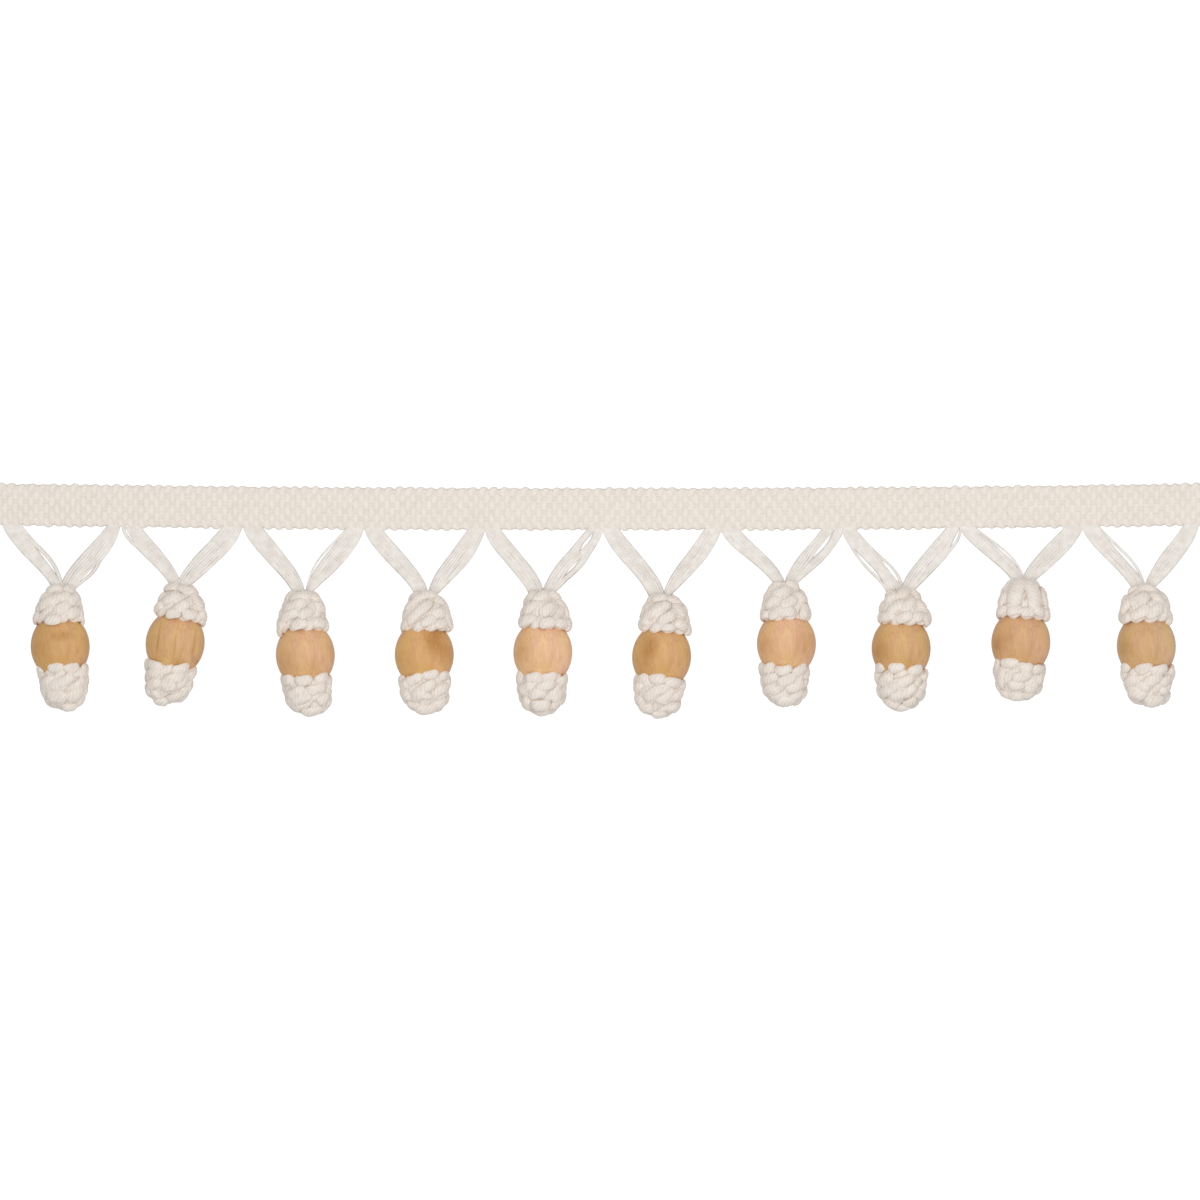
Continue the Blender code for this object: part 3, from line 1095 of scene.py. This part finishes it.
    def lump(self, share: float, angle: float, lobe: Lobe) -> YarnRun:
        """A lump of cord that comes up out of the knot and goes down into it again.

        Args:
            share: The share of the way to its middle.
            angle: The way round to its middle.
            lobe: Its lie and its size.

        Returns:
            Its run of cord.
        """
        bow = np.linspace(-1, 1, self.lobe_steps)
        lean = math.radians(lobe.angle)
        radius, slope = self.girth(np.array(share))
        slant = math.hypot(self.rise(), float(slope))
        along = bow * lobe.length / 2
        aside = self.rng.normal(0.0, self.lobe_bend) * (1 - bow**2)
        right = along * math.cos(lean) - aside * math.sin(lean)
        up = along * math.sin(lean) + aside * math.cos(lean)
        reached = np.clip(share + self.kind.value * up / slant, *self.lobe_ends)
        places, outwards = self.skin(reached, angle - right / float(radius))
        places = places + outwards * (lobe.rise - self.lobe_dive * bow**4)[:, None]
        taper = self.rng.uniform(-self.lobe_taper, self.lobe_taper) * bow
        size = 1 + taper + wander(self.rng, (bow + 1) / 2, self.lobe_waves, self.lobe_sway)
        size = lobe.half_width * size * rounded(bow)
        return self.placed(places, outwards, size, size * self.lobe_flatness)

    def lobe(self, lobe: Lobe) -> YarnRun:
        """A lobe that the plan names, on the knot's upper side.

        Args:
            lobe: Its place, its lie and its size.

        Returns:
            Its run of cord.
        """
        share = max((abs(lobe.up) - self.plait.rim_height) / self.rise(), self.lobe_least_share)
        radius, _ = self.girth(np.clip(share, 0, 1))
        side = (lobe.across - self.middle(np.array(share))[0]) / radius
        limit = self.lobe_side_limit
        return self.lump(share, math.acos(max(-limit, min(limit, side))), lobe)

    def lumps(self, named: Sequence[Lobe]) -> list[YarnRun]:
        """The knot's lumps, row by row round it. Its upper side has none close to a named lobe.

        Args:
            named: The lobes that the plan names.

        Returns:
            Their runs of cord.
        """
        rng = self.rng
        taken = np.array([(lobe.across, lobe.up) for lobe in named])
        runs = []
        last_row = self.plan.last_row
        rows = 1 + round((last_row - self.first_row) * self.rise() / self.row_pitch)
        for row, share in enumerate(np.linspace(self.first_row, last_row, rows)):
            radius, _ = self.girth(np.array(share))
            count = max(round(TURN * float(radius) / self.lump_pitch), self.least_lumps)
            for place in range(count):
                angle = TURN * (place + row * self.row_offset) / count
                lobe = Lobe(
                    0.0,
                    0.0,
                    self.lump_lean + rng.normal(0.0, self.lean_spread),
                    self.lump_length * rng.uniform(*self.length_shares),
                    self.lump_half_width * rng.uniform(*self.width_shares),
                    rng.uniform(*self.rises),
                )
                uneven = rng.normal(0.0, self.share_spread), rng.normal(0.0, self.angle_spread)
                run = self.lump(share + uneven[0], angle + uneven[1], lobe)
                middle, out = self.skin(np.array(share), np.array(angle))
                apart = np.linalg.norm(taken - middle[:2], axis=1).min()
                if out[2] < self.flank or apart > self.lump_clearance:
                    runs.append(run)
        return runs


@dataclass
class PlaitedCord:
    """The thick cord of one drop: its two knots and its run through the bead."""

    lie: DropLie
    plan: DropPlan
    number: int
    sides: int = 12
    stem_radius: float = 1.6
    stem_half_length: float = 11.0
    stem_steps: int = 12

    def stem(self) -> YarnRun:
        """The cord inside the bead."""
        height = np.linspace(-self.stem_half_length, self.stem_half_length, self.stem_steps)
        places = self.lie.to_world(self.lie.cord_centre(height))
        return YarnRun.face_up(places, self.stem_radius, self.stem_radius)

    def make(self, finish: CottonFinish) -> None:
        """Ties the knots.

        Args:
            finish: What the cord is made of.
        """
        cord = YarnMesh(self.sides, finish)
        for kind, plan in ((KnotKind.CAP, self.plan.cap), (KnotKind.END, self.plan.end)):
            knot = Knot(kind, self.lie, plan, self.number)
            named = [lobe for lobe in self.plan.lobes if lobe.up * kind.value > 0]
            inside = [knot.turns(), knot.heart(), knot.core()]
            for run in inside + knot.lumps(named) + [knot.lobe(lobe) for lobe in named]:
                cord.lay(run)
        cord.lay(self.stem())
        name = f"{self.number:02d}"
        cord.build(f"plait_{name}", f"plaited_cord_{name}")


@dataclass
class Bead:
    """A turned, bored wooden bead, a little longer than wide before its ends are cut flat."""

    radius: float = 9.0
    half_length: float = 8.8
    semi_axis: float = 10.2
    bore_radius: float = 2.0
    edge_radius: float = 0.3
    edge_segments: int = 3
    sharp_angle: float = 40.0
    segments: int = 64
    rings: int = 36

    def turned(self) -> bpy.types.Mesh:
        """Turns one bead, its bore upright and its centre at the origin."""
        bpy.ops.object.select_all(action="DESELECT")
        bpy.ops.mesh.primitive_uv_sphere_add(
            segments=self.segments, ring_count=self.rings, radius=self.radius * MM, location=(0, 0, 0)
        )
        bead = bpy.context.object
        bpy.ops.object.mode_set(mode="EDIT")
        bpy.ops.mesh.select_mode(type="EDGE")
        bpy.ops.mesh.select_all(action="SELECT")
        bpy.ops.transform.resize(value=(1, 1, self.semi_axis / self.radius))
        face_radius = self.radius * math.sqrt(1 - (self.half_length / self.semi_axis) ** 2)
        narrowing = self.bore_radius / face_radius
        for end in (1, -1):
            bpy.ops.mesh.select_all(action="SELECT")
            cut = (0, 0, end * self.half_length * MM)
            bpy.ops.mesh.bisect(plane_co=cut, plane_no=(0, 0, end), clear_outer=True)
            bpy.ops.mesh.extrude_region_move()
            bpy.ops.transform.resize(value=(narrowing, narrowing, 1))
        bpy.ops.mesh.select_all(action="DESELECT")
        bpy.ops.mesh.select_non_manifold()
        bpy.ops.mesh.bridge_edge_loops()
        bpy.ops.mesh.select_all(action="SELECT")
        bpy.ops.mesh.remove_doubles(threshold=self.edge_radius * MM / 10)
        bpy.ops.mesh.normals_make_consistent(inside=False)
        bpy.ops.object.mode_set(mode="OBJECT")
        bpy.ops.object.modifier_add(type="BEVEL")
        edges = bead.modifiers[-1]
        edges.width = self.edge_radius * MM
        edges.segments = self.edge_segments
        edges.limit_method = "ANGLE"
        bpy.ops.object.modifier_apply(modifier=edges.name)
        bpy.ops.object.shade_smooth_by_angle(angle=math.radians(self.sharp_angle))
        mesh = bead.data
        bpy.data.objects.remove(bead)
        return mesh

    def make(self, pattern: bpy.types.Mesh, number: int, lie: DropLie, finish: WoodFinish) -> None:
        """Puts one bead on its cord.

        Args:
            pattern: The turned bead that this one is a copy of.
            number: The drop's number.
            lie: The drop's lie.
            finish: The bead's wood.
        """
        mesh = pattern.copy()
        mesh.name = f"turned_bead_{number:02d}"
        place = Matrix.Translation(lie.centre * MM) @ Matrix.Rotation(lie.turn, 4, "Z")
        mesh.transform(place @ Matrix.Rotation(-math.pi / 2, 4, "X"))
        hold(mesh, finish.dress(tuple(lie.centre * MM), lie.turn), f"bead_{number:02d}")


@dataclass
class Studio:
    """A pale table under soft light, seen from straight above."""

    view_width: float = 366.0
    centre: Range = (-0.4575, -27.755)
    lens: float = 300.0
    sensor: float = 36.0
    aim_height: float = 5.0
    sky: float = 0.56
    lamp_size: float = 800.0
    lamp_place: Triple = (60.0, 0.0, 1000.0)
    lamp_watts: float = 5.0
    table_half: float = 6000.0
    table_grey: float = 0.25
    table_glow: float = 0.9

    def set_up(self) -> None:
        """Places the camera, the light and the table."""
        scene = bpy.context.scene
        scene.view_settings.view_transform = "Standard"
        distance = self.view_width * self.lens / self.sensor
        x, y = (part * MM for part in self.centre)
        bpy.ops.object.camera_add(location=(x, y, (self.aim_height + distance) * MM), rotation=(0, 0, 0))
        camera = bpy.context.object
        camera.data.lens = self.lens
        camera.data.sensor_width = self.sensor
        camera.data.clip_end = 2 * distance * MM
        scene.camera = camera
        place = [part * MM for part in self.lamp_place]
        bpy.ops.object.light_add(type="AREA", location=place, rotation=(0, 0, 0))
        lamp = bpy.context.object
        lamp.data.shape = "SQUARE"
        lamp.data.size = self.lamp_size * MM
        lamp.data.energy = self.lamp_watts
        world = bpy.data.worlds.new("soft_room")
        scene.world = world
        world.use_nodes = True
        sky = world.node_tree.nodes["Background"]
        sky.inputs["Color"].default_value = (*WHITE, 1.0)
        sky.inputs["Strength"].default_value = self.sky
        self.lay_table()

    def lay_table(self) -> None:
        """Lays the pale table under the fringe."""
        bpy.ops.object.select_all(action="DESELECT")
        bpy.ops.mesh.primitive_plane_add(size=2 * self.table_half * MM, location=(0, 0, 0))
        table = bpy.context.object
        table.name = "pale_table"
        surface = {
            "Base Color": (*[self.table_grey] * 3, 1.0),
            "Roughness": 1.0,
            "Specular IOR Level": 0.0,
            "Emission Color": (*WHITE, 1.0),
            "Emission Strength": self.table_glow,
        }
        table.data.materials.append(Shader("pale_table").surface(surface))
        table.visible_diffuse = False


DROPS = (
    DropPlan(
        neck=(0.15, 22.6), bead=(-0.18, 41.9), tip=(1.68, 62.2),
        cap=KnotPlan(7.8, 1.3), end=KnotPlan(7.9, 1, 0.7, last_row=0.76),
        left=Leg(0.1, 4.8, 0.3, -2.6, slits=(Slit(0.68, 0.3, 0.95, 0.3),)),
        right=Leg(-0.6, -3.3, -0.4, 4, slits=(Slit(-0.82, 0.6, 1, 0.26),)),
        wood=(206, 163, 111),
        lobes=(Lobe(-7, 9, 40, 4, 1.6), Lobe(-1.7, 8.6, 5, 5.2), Lobe(4.6, 10.2, 10, 5, 2),
            Lobe(6.9, 8, -60, 4.4, 1.3), Lobe(-3.4, 12.6, 22, 7.5), Lobe(0.8, 15, 20, 8),
            Lobe(4.8, 14.2, 25, 6), Lobe(-1.6, 17.6, 15, 6, 1.5), Lobe(-6.4, -7.2, 35, 4.2),
            Lobe(-1.3, -6.4, 8, 5.2, 1.6), Lobe(3.4, -7, 5, 5), Lobe(7, -8, 50, 4.2),
            Lobe(-4.6, -10.6, 25, 6.5), Lobe(1.4, -10, 28, 6.5), Lobe(5.6, -11.2, 35, 5),
            Lobe(-1.6, -14.6, -12, 6.2, 2.1, 0.4), Lobe(4.2, -14.2, 35, 6.6, 2.1, 0.4),
            Lobe(2.2, -18.2, 5, 4.8, 1.6, 0.6)),
        # The first patch is painted shade along the bead's left side.
        marks_and_painted_light=(Patch(-7, 1, 7, 0.25), Patch(0.8, 3.1, 4.6, 0.5, 0.5)),
    ),
    DropPlan(
        neck=(-0.15, 22.3), bead=(-1.77, 40.9), tip=(-5.64, 60.1),
        cap=KnotPlan(8.1, 1.5, 0.3), end=KnotPlan(8, 1.1, -0.2, last_row=0.76),
        left=Leg(0, 4.6, 0.1, -2.8, slits=(Slit(-0.8, 0, 0.4, 0.2),)), right=Leg(0.3, -4.8, -1, 1.8),
        wood=(210, 168, 123),
        lobes=(Lobe(-6.4, 10, 30, 5), Lobe(7.4, 9.6, -30, 4.6), Lobe(5, 13.6, -65, 7, 1.5),
            Lobe(-3.2, 13.6, 35, 7), Lobe(-3.6, 16.8, 15, 6), Lobe(1.4, 16.6, -20, 6.5),
            Lobe(0.6, 11.4, 35, 6), Lobe(-1.8, 9, 20, 4.6), Lobe(3.6, 9.2, 5, 5),
            Lobe(-5.4, -7.3, -5, 6.4, 1.6), Lobe(3.2, -7.2, 25, 6.2, 1.6), Lobe(7.2, -8.2, 60, 4, 1.3),
            Lobe(-5.4, -10.6, 20, 6), Lobe(1.6, -10.2, 20, 7), Lobe(-4.8, -13.4, 22, 6),
            Lobe(5.4, -13.4, 30, 5), Lobe(0.2, -13.2, 25, 4.5), Lobe(-2.1, -18, 5, 5),
            Lobe(2.6, -15.9, 33, 5.6, 1.5), Lobe(-3.4, -16, -35, 4, 1.3)),
        marks_and_painted_light=(Patch(-4.9, 0, 0.6, 0.5, 14), Patch(0.4, -1, 0.55, 0.4, 12), Patch(6, 0, 0.6, 0.45, 12),
            Patch(2.4, -5.6, 2.8, 0.4, 0.8), Patch(7.6, -4.6, 1.8, 0.4)),
    ),
    DropPlan(
        neck=(0.46, 24.1), bead=(1.28, 44.5), tip=(2.59, 63.4),
        cap=KnotPlan(7.9, 1.6, -0.3), end=KnotPlan(7.9, 1.5),
        left=Leg(0.5, 5.3, 0.4, -2.7), right=Leg(0.8, -3.6, 0.9, 2, strays=((1, 0.4),)),
        wood=(216, 173, 133),
        lobes=(Lobe(-7, 8.6, 55, 5.6, 1.8), Lobe(-1, 9.2, 8, 5.6, 1.6), Lobe(4.8, 9.6, -5, 5.4, 1.8),
            Lobe(-4.2, 12, 22, 8), Lobe(-2.6, 15.2, 20, 9), Lobe(5.4, 14, -20, 5, 1.8),
            Lobe(1.2, 12.6, 20, 5), Lobe(-0.4, 18, 12, 8), Lobe(4.4, 17, -35, 5, 1.5),
            Lobe(-5.8, -7.2, 10, 4.8), Lobe(-0.9, -7.4, 5, 5.4), Lobe(4.9, -7.2, 15, 5),
            Lobe(-4, -10.6, 18, 7), Lobe(3.2, -10.2, 14, 7.5), Lobe(-2.2, -13.6, 18, 8),
            Lobe(5, -13.4, 25, 5), Lobe(1.2, -16.6, 8, 7, 2, 0.4), Lobe(7.4, -9, 60, 3.6, 1.3),
            Lobe(-2.8, -15.6, 25, 4.4, 1.5)),
        marks_and_painted_light=(Patch(-6, -3.5, 5, 0.24), Patch(3, -4.5, 3, 0.2)),
    ),
    DropPlan(
        neck=(1.37, 24.7), bead=(0.92, 44.4), tip=(1.98, 63.1),
        cap=KnotPlan(8, 1.6, 1), end=KnotPlan(8, 1.2),
        left=Leg(0.8, 5, 0.7, -3), right=Leg(1.2, -2.9, 0.8, 2.8),
        wood=(212, 167, 115),
        lobes=(Lobe(-1.2, 12.8, 40, 11.5, 1.7, 0.5), Lobe(-3.6, 14.8, 45, 7.5, 1.6),
            Lobe(-0.4, 17.6, 30, 6.5), Lobe(5.2, 15.6, -35, 5, 1.6), Lobe(4.7, 12.8, 10, 5, 1.8),
            Lobe(1.5, 10, 25, 5.4, 1.5), Lobe(5.3, 9.9, 10, 4.6, 1.6), Lobe(8, 9, -50, 3.4, 1.3),
            Lobe(-5.4, 9.4, 30, 4.6, 1.6), Lobe(-3.4, -7.2, 22, 6.2, 1.6), Lobe(2, -6, 12, 5.4, 1.6),
            Lobe(6.2, -7, 0, 4.4, 1.5), Lobe(-6, -9.2, 15, 5.4, 1.8), Lobe(-5.8, -12.2, -15, 6, 1.9),
            Lobe(1, -9.6, 30, 6), Lobe(5.8, -10.4, 15, 5), Lobe(0.4, -12.8, -10, 5, 1.1),
            Lobe(0.2, -16, 0, 7.4, 2.1, 0.4), Lobe(-3.6, -15, -25, 5, 1.4), Lobe(4.8, -14.4, 22, 5.4, 1.8),
            Lobe(2.6, 18.4, -40, 4, 1.3)),
        marks_and_painted_light=(Patch(3, 4.4, 4.6, 0.75), Patch(7, 0.5, 3.5, 0.4)),
    ),
    DropPlan(
        neck=(0.46, 24.1), bead=(0.43, 43.7), tip=(-0.15, 63.4),
        cap=KnotPlan(8.3, 1.2, 0.4), end=KnotPlan(7.9, 1.3),
        left=Leg(0.9, 4.4, 0, -4.2),
        right=Leg(0.6, -3.1, 0, 3, slits=(Slit(0.1, 0.05, 0.4, 0.34), Slit(-0.4, 0.45, 0.8, 0.23))),
        wood=(226, 184, 146),
        lobes=(Lobe(-5.2, 9.8, 22, 7, 1.8), Lobe(1.4, 9, 12, 5.4), Lobe(5.6, 9, 0, 4.4, 1.5),
            Lobe(8, 8.4, -55, 4, 1.3), Lobe(-3.4, 13.4, 33, 7.5), Lobe(1.6, 13, 38, 6, 1.8),
            Lobe(6.3, 13, -68, 7.5, 1.5), Lobe(-0.6, 16.6, 30, 6.5), Lobe(3.6, 17, -30, 5.5, 1.5),
            Lobe(-3, -7.4, 14, 5.2, 1.6), Lobe(2.2, -7.4, 14, 5.2, 1.6), Lobe(-7.2, -7.8, 45, 4, 1.5),
            Lobe(6.2, -8.2, 20, 4.6, 1.6), Lobe(-5, -10.8, 22, 6.5), Lobe(1, -10.6, 22, 7),
            Lobe(-1.4, -13.2, 15, 6), Lobe(4.8, -12.8, 35, 5), Lobe(-4.6, -15.8, 60, 4.6),
            Lobe(-0.4, -15.8, 5, 5.6, 2.1, 0.4), Lobe(4.4, -15.2, 60, 4.8), Lobe(0.2, -18.5, 10, 4.8, 1.3)),
        # The first patch is painted shade along the bead's left side, and the paler second one is painted
        # light along its right side.
        marks_and_painted_light=(Patch(-6.4, 1, 4.5, 0.33), Patch(8.5, 0, 4.5, -0.25)),
    ),
    DropPlan(
        neck=(0.76, 25.3), bead=(0, 45), tip=(-1.98, 64.1),
        cap=KnotPlan(8, 1.8, 0.1), end=KnotPlan(8, 1.2),
        left=Leg(0.5, 4.3, 0.3, -4.2), right=Leg(0.2, -3.9, 0.1, 1),
        wood=(209, 165, 115),
        lobes=(Lobe(-6.2, 9.5, 18, 5.4, 1.6), Lobe(-4.6, 12.6, 30, 6.5), Lobe(0.9, 11.4, 32, 6.4),
            Lobe(1.6, 9, 5, 5, 1.2), Lobe(5.4, 9.9, -25, 5.2, 1.8), Lobe(-1.6, 14.6, 28, 7.5),
            Lobe(4.6, 14.4, -50, 5.5, 1.6), Lobe(-2, 17.6, 15, 5), Lobe(2.8, 17.4, -25, 5),
            Lobe(-5.4, -6.9, 25, 4.8, 1.5), Lobe(-0.9, -6.8, 5, 5.2), Lobe(4.2, -7.6, -5, 6.2),
            Lobe(-6.5, -10, 30, 5), Lobe(0, -10.2, 18, 7), Lobe(5.8, -11.2, 30, 5), Lobe(-6, -13, -20, 5),
            Lobe(1, -13.2, -20, 4.4, 1.3), Lobe(-3.6, -15.9, -5, 5, 1.8, 0.4), Lobe(0.4, -17.2, 10, 4.6),
            Lobe(4.6, -14.8, 35, 5, 1.6)),
        marks_and_painted_light=(Patch(-3.8, 2.5, 3.7, 0.65), Patch(-5, -3, 4, 0.25)),
    ),
    DropPlan(
        neck=(0.76, 21.7), bead=(1.43, 41.1), tip=(1.37, 61),
        cap=KnotPlan(7.8, 1.5, -0.2), end=KnotPlan(7.9, 1.1, -0.9),
        left=Leg(-0.4, 3.9, 0.3, -2.4), right=Leg(1, -4.5, 0.2, 2.8, slits=(Slit(-0.1, 0.05, 0.65, 0.27),)),
        wood=(221, 178, 140),
        lobes=(Lobe(-6.7, 9, 10, 4.4, 1.4), Lobe(-3.4, 10, 35, 5.8, 1.6), Lobe(0.2, 9.6, 8, 6, 1.6),
            Lobe(5.6, 9.8, 65, 5, 1.8), Lobe(-4.4, 13, 32, 6.5), Lobe(0.8, 12.8, 25, 6),
            Lobe(4.9, 14.2, -15, 5, 1.8), Lobe(-1.4, 15.8, 30, 7), Lobe(2.4, 17.4, -10, 5),
            Lobe(-5.8, -7.1, 30, 4.2, 1.6), Lobe(-1.2, -7.3, 10, 5.2, 1.6), Lobe(4, -8.2, 25, 6.2),
            Lobe(6.4, -9.8, 30, 4, 1.5), Lobe(-5.4, -10.6, 18, 6), Lobe(0.2, -10.8, 20, 7),
            Lobe(-4.8, -13.6, -15, 5.6), Lobe(2.6, -13.2, 22, 7), Lobe(-3.8, -15.6, -30, 4.6),
            Lobe(-0.3, -17.2, 5, 6.4, 1.9, 0.4), Lobe(2.8, -15.2, 33, 5, 1.6)),
        # The first patch is painted shade along the bead's left side.
        marks_and_painted_light=(Patch(-7, 0, 4, 0.3), Patch(5, 0, 4.5, 0.35)),
    ),
    DropPlan(
        neck=(-0.15, 23.8), bead=(-0.24, 42.5), tip=(0.15, 61.9),
        cap=KnotPlan(8.2, 1.4, 1), end=KnotPlan(8.2, 1.1),
        left=Leg(0.2, 3, 0.8, -4.3, slits=(Slit(-0.84, 0.3, 0.95, 0.28), Slit(0.84, 0.45, 0.95, 0.3))),
        right=Leg(0.2, -3.3, 0, 3, slits=(Slit(-0.86, 0, 0.4, 0.26),)),
        wood=(208, 167, 119),
        lobes=(Lobe(-4.8, 9.4, 10, 6.6, 1.6), Lobe(0.8, 9.8, 20), Lobe(5.4, 9.4, 10, 4.4, 1.6),
            Lobe(7.4, 8.6, -50, 4.4, 1.5), Lobe(-2, 12.6, 38, 7), Lobe(2.4, 13.4, 38, 7),
            Lobe(6.4, 12.4, -55, 5.5, 1.6), Lobe(-3.2, 15.4, 40, 5), Lobe(1.4, 16.8, 35, 6),
            Lobe(5, 16.2, -40, 4.6), Lobe(-6.6, -6.2, 20, 4.6, 1.6), Lobe(-1.6, -6.2, 8, 4.8),
            Lobe(4.2, -6.9, 8, 5), Lobe(7.2, -8.2, 40, 3.4, 1.5), Lobe(-5, -9.4, 30, 6),
            Lobe(0.8, -9.6, 25, 6.5), Lobe(-5, -12.4, 15, 6), Lobe(2, -12.4, 30, 6),
            Lobe(5.2, -14, 5, 4.6, 1.5), Lobe(-3, -16.4, -15, 5, 1.8, 0.4), Lobe(0.4, -18.1, 15, 4.6, 1.6),
            Lobe(2.3, -15.9, 30, 4.6, 1.5)),
        # The first patch is painted shade along the bead's left side.
        marks_and_painted_light=(Patch(-7, -1, 5, 0.45), Patch(3, -6, 3, 0.3)),
    ),
    DropPlan(
        neck=(0.76, 20.7), bead=(-0.37, 40.7), tip=(-1.07, 59.2),
        cap=KnotPlan(8.2, 1.9, 0.1), end=KnotPlan(8, 1.1),
        left=Leg(-0.4, 3, 0.3, -3, strays=((1, 0.5),)), right=Leg(1, -3.6, -0.4, 2.2),
        wood=(208, 165, 126),
        lobes=(Lobe(-2.3, 15, 84, 9.5, 2.6, 0.3), Lobe(2.4, 14.6, -84, 9.5, 2.6, 0.3),
            Lobe(-6.4, 9.6, 30, 4.4, 1.6), Lobe(-2.7, 9.4, 14, 5.2, 1.6), Lobe(1.6, 9.4, 5, 4.4, 1.6),
            Lobe(4.8, 9.8, -15, 4.4), Lobe(7.4, 9, -45, 4, 1.5), Lobe(-6.2, 12.8, 70, 5.5, 1.5),
            Lobe(6.4, 13, -72, 6, 1.5), Lobe(-7.4, -6.8, 60, 4, 1.4), Lobe(-3.6, -6.6, 5, 6.2),
            Lobe(1.6, -7, -5, 4.6), Lobe(5.6, -8, 5, 4.8, 1.6), Lobe(-5.6, -11, 78, 7.5, 1.5),
            Lobe(0.6, -10, 15, 6.5), Lobe(6.2, -10.8, 40, 4.6), Lobe(-1, -13, 5, 5.4),
            Lobe(3.8, -13, 30, 5.4), Lobe(-4.4, -15.2, -15, 4.6, 1.6), Lobe(-0.5, -16.4, 5, 5.8, 1.7, 0.4),
            Lobe(2.9, -15.4, 30, 4.2, 1.5)),
        # The first patch is painted shade along the bead's left side, and the paler last one is painted
        # light along its right side.
        marks_and_painted_light=(Patch(-7.5, -1, 3.6, 0.45), Patch(-4, 1.6, 2.2, 0.25), Patch(8.5, 0, 5, -0.4)),
    ),
    DropPlan(
        neck=(1.1, 22.9), bead=(1.25, 41.8), tip=(2.9, 61),
        cap=KnotPlan(8.2, 1.8), end=KnotPlan(8.2, last_row=0.78),
        left=Leg(0.4, 4.2, 0.1, -3.6, slits=(Slit(0.9, 0.12, 0.95, 0.32),)), right=Leg(-0.6, -3.9, 0, 1.9),
        wood=(206, 168, 127),
        lobes=(Lobe(-6, 9.2, 20, 4.6, 1.6), Lobe(-1.8, 10.4, 28, 7.4, 1.8), Lobe(3.2, 10.8, 30, 7.4, 1.9),
            Lobe(7.8, 8.6, -45, 6.4, 1.5), Lobe(-6, 12.2, 55, 6, 1.8), Lobe(-2, 14.4, 22, 7.5),
            Lobe(4.2, 14.2, -50, 6), Lobe(1, 17.2, -10, 7), Lobe(-3.6, 17.2, 40, 4.4, 1.4),
            Lobe(-6.9, -6.6, 15, 4.8, 1.6), Lobe(-1.5, -6.6, 14, 5.4), Lobe(3.4, -7.2, 10, 6.2, 1.6),
            Lobe(7.2, -7.9, 40, 4.4, 1.6), Lobe(-5.6, -10, 25, 5.6), Lobe(0.8, -9.8, 20, 7),
            Lobe(5.4, -11, 30, 5), Lobe(-4, -14.4, -16, 6.4, 2.2, 0.4), Lobe(1.5, -16.6, 5, 5.6, 2.3, 0.4),
            Lobe(5, -12.8, 30, 4.6, 1.6)),
        # The first patch is painted shade along the bead's left side, and the paler last one is painted
        # light along its right side.
        marks_and_painted_light=(Patch(-7, 0, 4, 0.36), Patch(0, 5, 3, 0.2), Patch(8.5, 0, 5, -0.4)),
    ),
)


def main() -> None:
    """Builds the looks of the whole fringe."""
    logging.basicConfig(level=logging.INFO, format="%(name)s: %(message)s")
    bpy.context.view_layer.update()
    weft = CottonFinish(
        "cream_weft", linear(244, 236, 227), linear(236, 226, 216),
        plies=2, ply_pitch=4.0, ply_depth=0.05
    )
    # The warp is the weft's cream made darker: painted shade for where the warps lie lower, under the weft.
    warp = CottonFinish(
        "cream_warp_painted_shade", linear(237, 228, 219), linear(229, 219, 209),
        plies=2, ply_pitch=4.0, ply_depth=0.05
    )
    thread = CottonFinish(
        "cream_thread", linear(247, 242, 236), linear(227, 220, 212),
        plies=1, ply_pitch=30.0, ply_depth=0.01, fibre_share=1.0
    )
    cord = CottonFinish(
        "cream_cord", linear(246, 237, 228), linear(228, 215, 203),
        plies=5, ply_pitch=6.0, ply_depth=0.25, wobble=0.25
    )
    band = HeaderBand()
    band.make(weft, warp)
    bead = Bead()
    pattern = bead.turned()
    for number, plan in enumerate(DROPS, start=1):
        lie = DropLie(number, plan)
        PlaitedCord(lie, plan, number).make(cord)
        wood = WoodFinish(f"pale_wood_{number:02d}", linear(*plan.wood), plan.marks_and_painted_light)
        bead.make(pattern, number, lie, wood)
        for side, leg in ((Side.LEFT, plan.left), (Side.RIGHT, plan.right)):
            Skein(side, leg, number, lie, band).make(thread)
    Studio().set_up()


if __name__ == "__main__":
    main()
